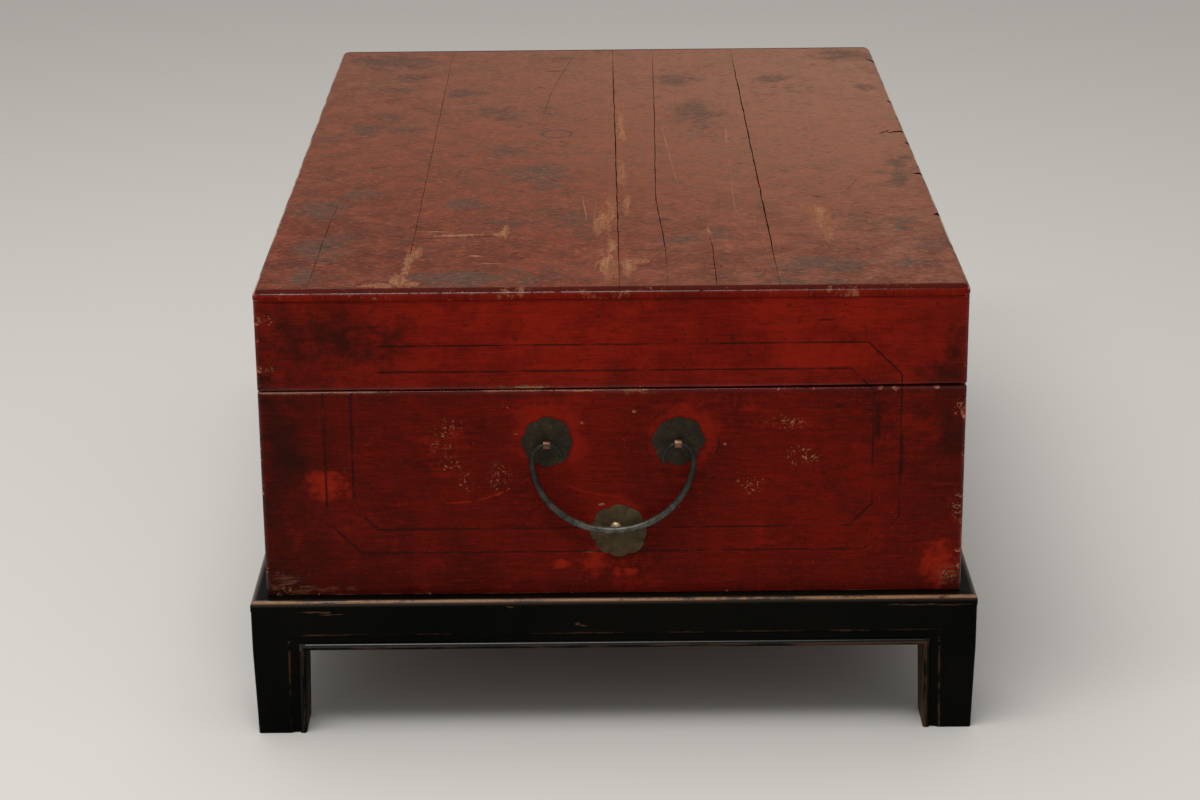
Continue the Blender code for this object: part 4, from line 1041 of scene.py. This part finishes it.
def petal_plate(radius, hole, seed):
    """A domed petal plate facing -Y, centred on the origin, with a hole given by angle."""
    draw = Random(seed)
    lobes = [1.0 + draw.uniform(-0.055, 0.02) for _ in range(PETALS)]
    notches = [PETAL_NOTCH * draw.uniform(0.7, 1.25) for _ in range(PETALS)]
    bm = bmesh.new()
    columns = PETALS * PETAL_COLUMNS
    skins = []
    for column in range(columns):
        angle = 2 * pi * column / columns
        turn = column / PETAL_COLUMNS + 0.5
        petal = int(turn) % PETALS
        across = abs(turn % 1 * 2 - 1)
        notch = notches[petal] if turn % 1 > 0.5 else notches[petal - 1]
        lobe = lobes[petal] + (lobes[petal - 1] - lobes[petal]) * max(0.0, 0.5 - turn % 1)
        reach = radius * lobe - notch * across ** 2.6
        start = hole(angle)
        points = []
        for share in PLATE_RINGS:
            r = start + (reach - start) * share
            chased = CHASE_DEPTH * (across == 1.0) * min(1.0, max(0.0, share - 0.45) * 6)
            swell = PETAL_SWELL * (1 - across ** 2) * share
            height = PLATE_FOOT + PLATE_EDGE + PLATE_DOME * (1 - share ** 2) + swell - chased
            height += PLATE_BEATEN * noise.noise(Vector((r * cos(angle), r * sin(angle), seed)) * 180)
            points.append(bm.verts.new((r * cos(angle), -height, r * sin(angle))))
        points.append(bm.verts.new((reach * cos(angle), -PLATE_FOOT, reach * sin(angle))))
        points.append(bm.verts.new((start * cos(angle), -PLATE_FOOT, start * sin(angle))))
        skins.append(points)
    bridge(bm, skins + skins[:1])
    return faced_out(bm)


def centre_of(node):
    low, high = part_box(node)
    return (low + high) / 2


def seat(node, sign):
    """Where the middle of a node meets the near (-1) or far (1) end board."""
    middle = centre_of(node)
    return Vector((middle.x, sign * trunk_high.y, middle.z))


def slot_hole(angle):
    """The slot for the split pin, as a distance from the plate's centre."""
    return min(PIN_SLOT[0] / max(abs(cos(angle)), WELD), PIN_SLOT[1] / max(abs(sin(angle)), WELD))


def pricked_hole(angle):
    """The nail's hole, round and hidden by the nail's head."""
    return NAIL_HOLE


ends = (("front", 0, -1), ("rear", 2, 1))
plate_finish = old_brass("brass_blackened", BRASS_BLACK, BRASS_BROWN, BRASS_RUBBED, 0.4, 0.42)
rest_finish = old_brass("brass_browned", REST_DARK, REST_BROWN, BRASS_RUBBED, 0.4, 0.42)
for seed, (end, turns, sign) in enumerate(ends):
    for number, (name, hole, finish) in enumerate((("plate_left", slot_hole, plate_finish),
                                                   ("plate_right", slot_hole, plate_finish),
                                                   ("rest_plate", pricked_hole, rest_finish))):
        node = f"{end}_{name}"
        low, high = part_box(node)
        plate = petal_plate((high.x - low.x) / 2, hole, 10 * seed + number + 1)
        plate.transform(Matrix.Translation(seat(node, sign)) @ facing(turns))
        dress(node, "chased", plate, finish)


# Split pins and hinge and hasp pins: soft brass strip folded to an eye, its legs clenched inside the
# board, and plain turned pins.  The bails' hooks have rubbed the eyes bright.
PIN_EDGE = 0.00022
PIN_DARK = (0.095, 0.046, 0.028, 1)
PIN_BROWN = (0.25, 0.135, 0.082, 1)
PIN_BRIGHT = (0.62, 0.46, 0.34, 1)
pin_finish = old_brass("brass_rubbed_bright", PIN_DARK, PIN_BROWN, PIN_BRIGHT, 1.0, 0.30)
for node in frame["nodes"]:
    if node.endswith("_pin") or "_post_" in node or node == "lock_staple":
        dress(node, "folded", welded(node), pin_finish, PIN_EDGE)


# Bails: wrought iron bar drawn down to two hooks and bent to a bow, hanging in its split pins; the
# hammer has left it slightly four-sided and hands have worn the bow grey, a grey that is partly a painted
# highlight.
BAIL_HALF = 0.05725
BAIL_DROP = 0.065
HOOK_RADIUS = 0.0108
HOOK_TAIL = radians(22)
ROD_BOW = 0.0050
ROD_HOOK = 0.0029
BOW_START = 0.45
ROD_SIDES = 16
ROD_SQUARE = 0.03
HAMMERED = 0.016
HAMMER_MARKS = 110
HOOK_POINTS = 15
BOW_POINTS = 48
IRON_BLACK = (0.0120, 0.0118, 0.0092, 1)
IRON_GREY = (0.030, 0.0295, 0.0235, 1)
IRON_WORN_AND_HIGHLIT = (0.200, 0.196, 0.165, 1)


def forged_iron():
    material, shader, place = new_finish("forged_iron")
    skin = place.cloud(110.0, 5.0, 0.6)
    pits = place.cloud(900.0, 2.0)
    bow = pivots["front_bail_swing"][2] - BAIL_DROP
    # The lower bow is lighter grey: worn by hands and partly a painted highlight.
    low = place.part(2).fade(bow + 0.041, bow + 0.001) * (0.0 - abs(place.part(1))).fade(-0.45, -0.40)
    tone = (skin + pits * 0.2).fade(0.42, 0.80)
    worn = low * (skin * 0.5 + pits * 0.2).fade(0.20, 0.50)
    lay_on(shader, {"Base Color": (worn * 0.7).tint(tone.tint(IRON_BLACK, IRON_GREY), IRON_WORN_AND_HIGHLIT),
                    "Metallic": 0.7 - pits.fade(0.5, 0.7) * 0.2,
                    "Roughness": 0.36 + skin * 0.16,
                    "Normal": (skin * 0.6 + pits * 0.3).relief(0.15, 0.0004)})
    return material


def bail_path():
    """Places on the bail's centreline across and below its pivot, with how stout the bar is there."""
    post = BAIL_HALF - HOOK_RADIUS
    hook = []
    for i in range(HOOK_POINTS):
        angle = -HOOK_TAIL + (pi + HOOK_TAIL) * i / HOOK_POINTS
        place = Vector((-post + HOOK_RADIUS * cos(angle), HOOK_RADIUS * sin(angle) - HOOK_RADIUS))
        hook.append((place, max(0.0, (i - 9) / 6) * BOW_START))
    bow = []
    for i in range(BOW_POINTS + 1):
        share = i / BOW_POINTS
        angle = pi + pi * share
        place = Vector((BAIL_HALF * cos(angle), (BAIL_DROP - HOOK_RADIUS) * sin(angle) - HOOK_RADIUS))
        bow.append((place, BOW_START + (1 - BOW_START) * sin(pi * share) ** 0.5))
    return hook[2:] + bow + [(Vector((-place.x, place.y)), stout) for place, stout in reversed(hook)]


def forged_bail(seed):
    bm = bmesh.new()
    path = bail_path()
    rings = []
    for i, (place, stout) in enumerate(path):
        run = (path[min(i + 1, len(path) - 1)][0] - path[max(i - 1, 0)][0]).normalized()
        side = Vector((run.y, -run.x))
        radius = (ROD_HOOK + (ROD_BOW - ROD_HOOK) * stout) / 2
        if i in (0, len(path) - 1):
            radius *= 0.8
        ring = []
        for corner in range(ROD_SIDES):
            angle = 2 * pi * corner / ROD_SIDES
            beaten = noise.noise(Vector((*place * HAMMER_MARKS, seed + corner * 0.45)))
            reach = radius * (1 - ROD_SQUARE * cos(4 * angle) * stout + HAMMERED * beaten)
            offset = side * cos(angle) * reach
            ring.append(bm.verts.new((place.x + offset.x, sin(angle) * reach, place.y + offset.y)))
        rings.append(ring)
    bridge(bm, rings, capped=True)
    return faced_out(bm)


pivots = {joint["name"]: joint["pos_m"] for joint in frame["joints"] if "bail" in joint["name"]}
iron_finish = forged_iron()
for seed, (end, turns, sign) in enumerate(ends):
    bail = forged_bail(seed * 7.0)
    bail.transform(Matrix.Translation(pivots[f"{end}_bail_swing"]) @ facing(turns))
    dress(f"{end}_bail", "forged", bail, iron_finish)


# Rest studs: brass nails with a struck dome, one driven through each rest plate into the end board.
# The bail's bow knocks against the dome, which keeps it off the lacquer and has been polished by it.
STUD_RINGS = 8
STUD_SIDES = 28
STUD_FOOT = 0.0018
STUD_WOBBLE = 0.03
STUD_DARK = (0.20, 0.135, 0.075, 1)
STUD_BROWN = (0.48, 0.36, 0.22, 1)
STUD_BRIGHT = (0.85, 0.73, 0.54, 1)
stud_finish = old_brass("brass_stud", STUD_DARK, STUD_BROWN, STUD_BRIGHT, 1.0, 0.30)


def domed(bm, centre, outward, radius, foot, crown, wobble):
    """Adds a domed head that stands on a plane and points outward."""
    turn = outward.to_track_quat("Z", "Y").to_matrix()
    rings = []
    for ring in range(STUD_RINGS):
        angle = pi / 2 * ring / STUD_RINGS
        ring_points = []
        for side in range(STUD_SIDES):
            around = 2 * pi * side / STUD_SIDES
            uneven = noise.noise(centre * 900 + Vector((cos(around), sin(around), ring)))
            r = radius * cos(angle) * (1 + wobble * uneven)
            spot = Vector((r * cos(around), r * sin(around), foot + (crown - foot) * sin(angle)))
            ring_points.append(bm.verts.new(centre + turn @ spot))
        rings.append(ring_points)
    tip = bm.verts.new(centre + turn @ Vector((0, 0, crown)))
    base = [bm.verts.new(point.co - outward * foot) for point in rings[0]]
    bridge(bm, [base] + rings)
    for i in range(STUD_SIDES):
        bm.faces.new((rings[-1][i], rings[-1][(i + 1) % STUD_SIDES], tip))
    bm.faces.new(base[::-1])


for end, turns, sign in ends:
    node = f"{end}_rest_stud"
    low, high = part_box(node)
    outward = Vector((0, sign, 0))
    crown = max(abs(low.y), abs(high.y)) - trunk_high.y
    head = bmesh.new()
    domed(head, seat(node, sign), outward, (high.x - low.x) / 2, STUD_FOOT, crown, STUD_WOBBLE)
    dress(node, "struck", faced_out(head), stud_finish)


# Hinges, lock plate and hasp: cut brass sheet with rolled knuckles, gone dull and brown.  Small
# round-headed nails hold the leaves and both halves of the lock plate to the side boards.
LEAF_EDGE = 0.00030
NAIL_RADIUS = 0.0021
NAIL_CROWN = 0.0013
NAIL_SIT = 0.0015
NAIL_FOOT = 0.0003
NAIL_WOBBLE = 0.05
LEAF_NAILS = ((-0.017, 0.014), (0.017, 0.014), (0.0, 0.026))
LOCK_NAIL_RING = 0.038
LOCK_NAILS = [radians(angle) for angle in (12, 57, 123, 168)]
SHEET_DARK = (0.022, 0.017, 0.010, 1)
SHEET_BROWN = (0.085, 0.060, 0.028, 1)
sheet_finish = old_brass("brass_sheet", SHEET_DARK, SHEET_BROWN, BRASS_RUBBED, 0.7, 0.36)
for node in frame["nodes"]:
    if node.endswith("_leaf") or node.startswith("lock_plate") or node == "hasp":
        dress(node, "cut", welded(node), sheet_finish, LEAF_EDGE)


def nails(name, places, outward, body):
    """A set of nail heads in one piece of metalwork."""
    bm = bmesh.new()
    for place in places:
        domed(bm, Vector(place) + outward * NAIL_SIT, outward, NAIL_RADIUS, NAIL_FOOT, NAIL_CROWN,
              NAIL_WOBBLE)
    obj = new_object(name, faced_out(bm), pin_finish)
    settle(obj)
    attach(obj, body)


for end in ("front", "back"):
    for part, body, up in (("base", "trunk", -1), ("lid", "lid", 1)):
        y = centre_of(f"hinge_{end}_{part}_leaf").y
        edge = base_high.z if part == "base" else rim_low.z
        spots = [(-trunk_high.x, y + across, edge + up * rise) for across, rise in LEAF_NAILS]
        nails(f"hinge_{end}_{part}_nails", spots, Vector((-1, 0, 0)), body)
for part, body, up, edge in (("lower", "trunk", -1, base_high.z), ("upper", "lid", 1, rim_low.z)):
    spots = [(trunk_high.x, LOCK_NAIL_RING * cos(angle), edge + up * LOCK_NAIL_RING * sin(angle))
             for angle in LOCK_NAILS]
    nails(f"lock_plate_{part}_nails", spots, Vector((1, 0, 0)), body)


# Room: a plain pale floor and soft studio light, no part of the object.  One soft light hangs overhead
# and one before the near end, and the camera looks down on that end as the photograph does.
FLOOR_SIZE = 14.0
FLOOR_COLOUR = (0.62, 0.60, 0.57, 1)
SKY = (1.0, 0.985, 0.96, 1)
SKY_STRENGTH = 0.46
LENS = 88.09
CAMERA_PLACE = (-0.0076, -2.3587, 0.9180)
CAMERA_YAW = radians(-0.0285)
CAMERA_PITCH = radians(18.793)
CAMERA_ROLL = radians(-0.5518)
SENSOR = 36.0

floor_shape = bmesh.new()
bmesh.ops.create_grid(floor_shape, x_segments=1, y_segments=1, size=FLOOR_SIZE)
floor_finish, floor_shader, _ = new_finish("pale_floor")
lay_on(floor_shader, {"Base Color": FLOOR_COLOUR, "Roughness": 0.8, "Specular IOR Level": 0.1})
floor = new_object("floor", floor_shape, floor_finish)

world = bpy.data.worlds.new("studio")
world.use_nodes = True
world.node_tree.nodes["Background"].inputs["Color"].default_value = SKY
world.node_tree.nodes["Background"].inputs["Strength"].default_value = SKY_STRENGTH
bpy.context.scene.world = world


def softbox(name, place, aim, size, power):
    lamp = bpy.data.lights.new(name, "AREA")
    lamp.shape = "RECTANGLE"
    lamp.size, lamp.size_y = size
    lamp.energy = power
    obj = bpy.data.objects.new(name, lamp)
    obj.location = place
    obj.rotation_euler = (Vector(aim) - Vector(place)).to_track_quat("-Z", "Y").to_euler()
    bpy.context.scene.collection.objects.link(obj)


softbox("overhead", (-0.3, 0.1, 2.6), (0, 0, 0.2), (2.0, 1.6), 28.0)
softbox("front", (-0.40, -1.15, 2.0), (0, -0.3, 0.2), (1.7, 0.45), 21.0)

forward = Vector((sin(CAMERA_YAW) * cos(CAMERA_PITCH), cos(CAMERA_YAW) * cos(CAMERA_PITCH),
                  -sin(CAMERA_PITCH)))
level_right = Vector((cos(CAMERA_YAW), -sin(CAMERA_YAW), 0.0))
level_up = level_right.cross(forward)
right = level_right * cos(CAMERA_ROLL) + level_up * sin(CAMERA_ROLL)
up = level_up * cos(CAMERA_ROLL) - level_right * sin(CAMERA_ROLL)
camera_data = bpy.data.cameras.new("camera")
camera_data.sensor_width = SENSOR
camera_data.lens = LENS
camera = bpy.data.objects.new("camera", camera_data)
camera.matrix_world = Matrix.Translation(CAMERA_PLACE) @ Matrix((right, up, -forward)).transposed().to_4x4()
bpy.context.scene.collection.objects.link(camera)
bpy.context.scene.camera = camera
bpy.context.scene.view_settings.view_transform = "Standard"
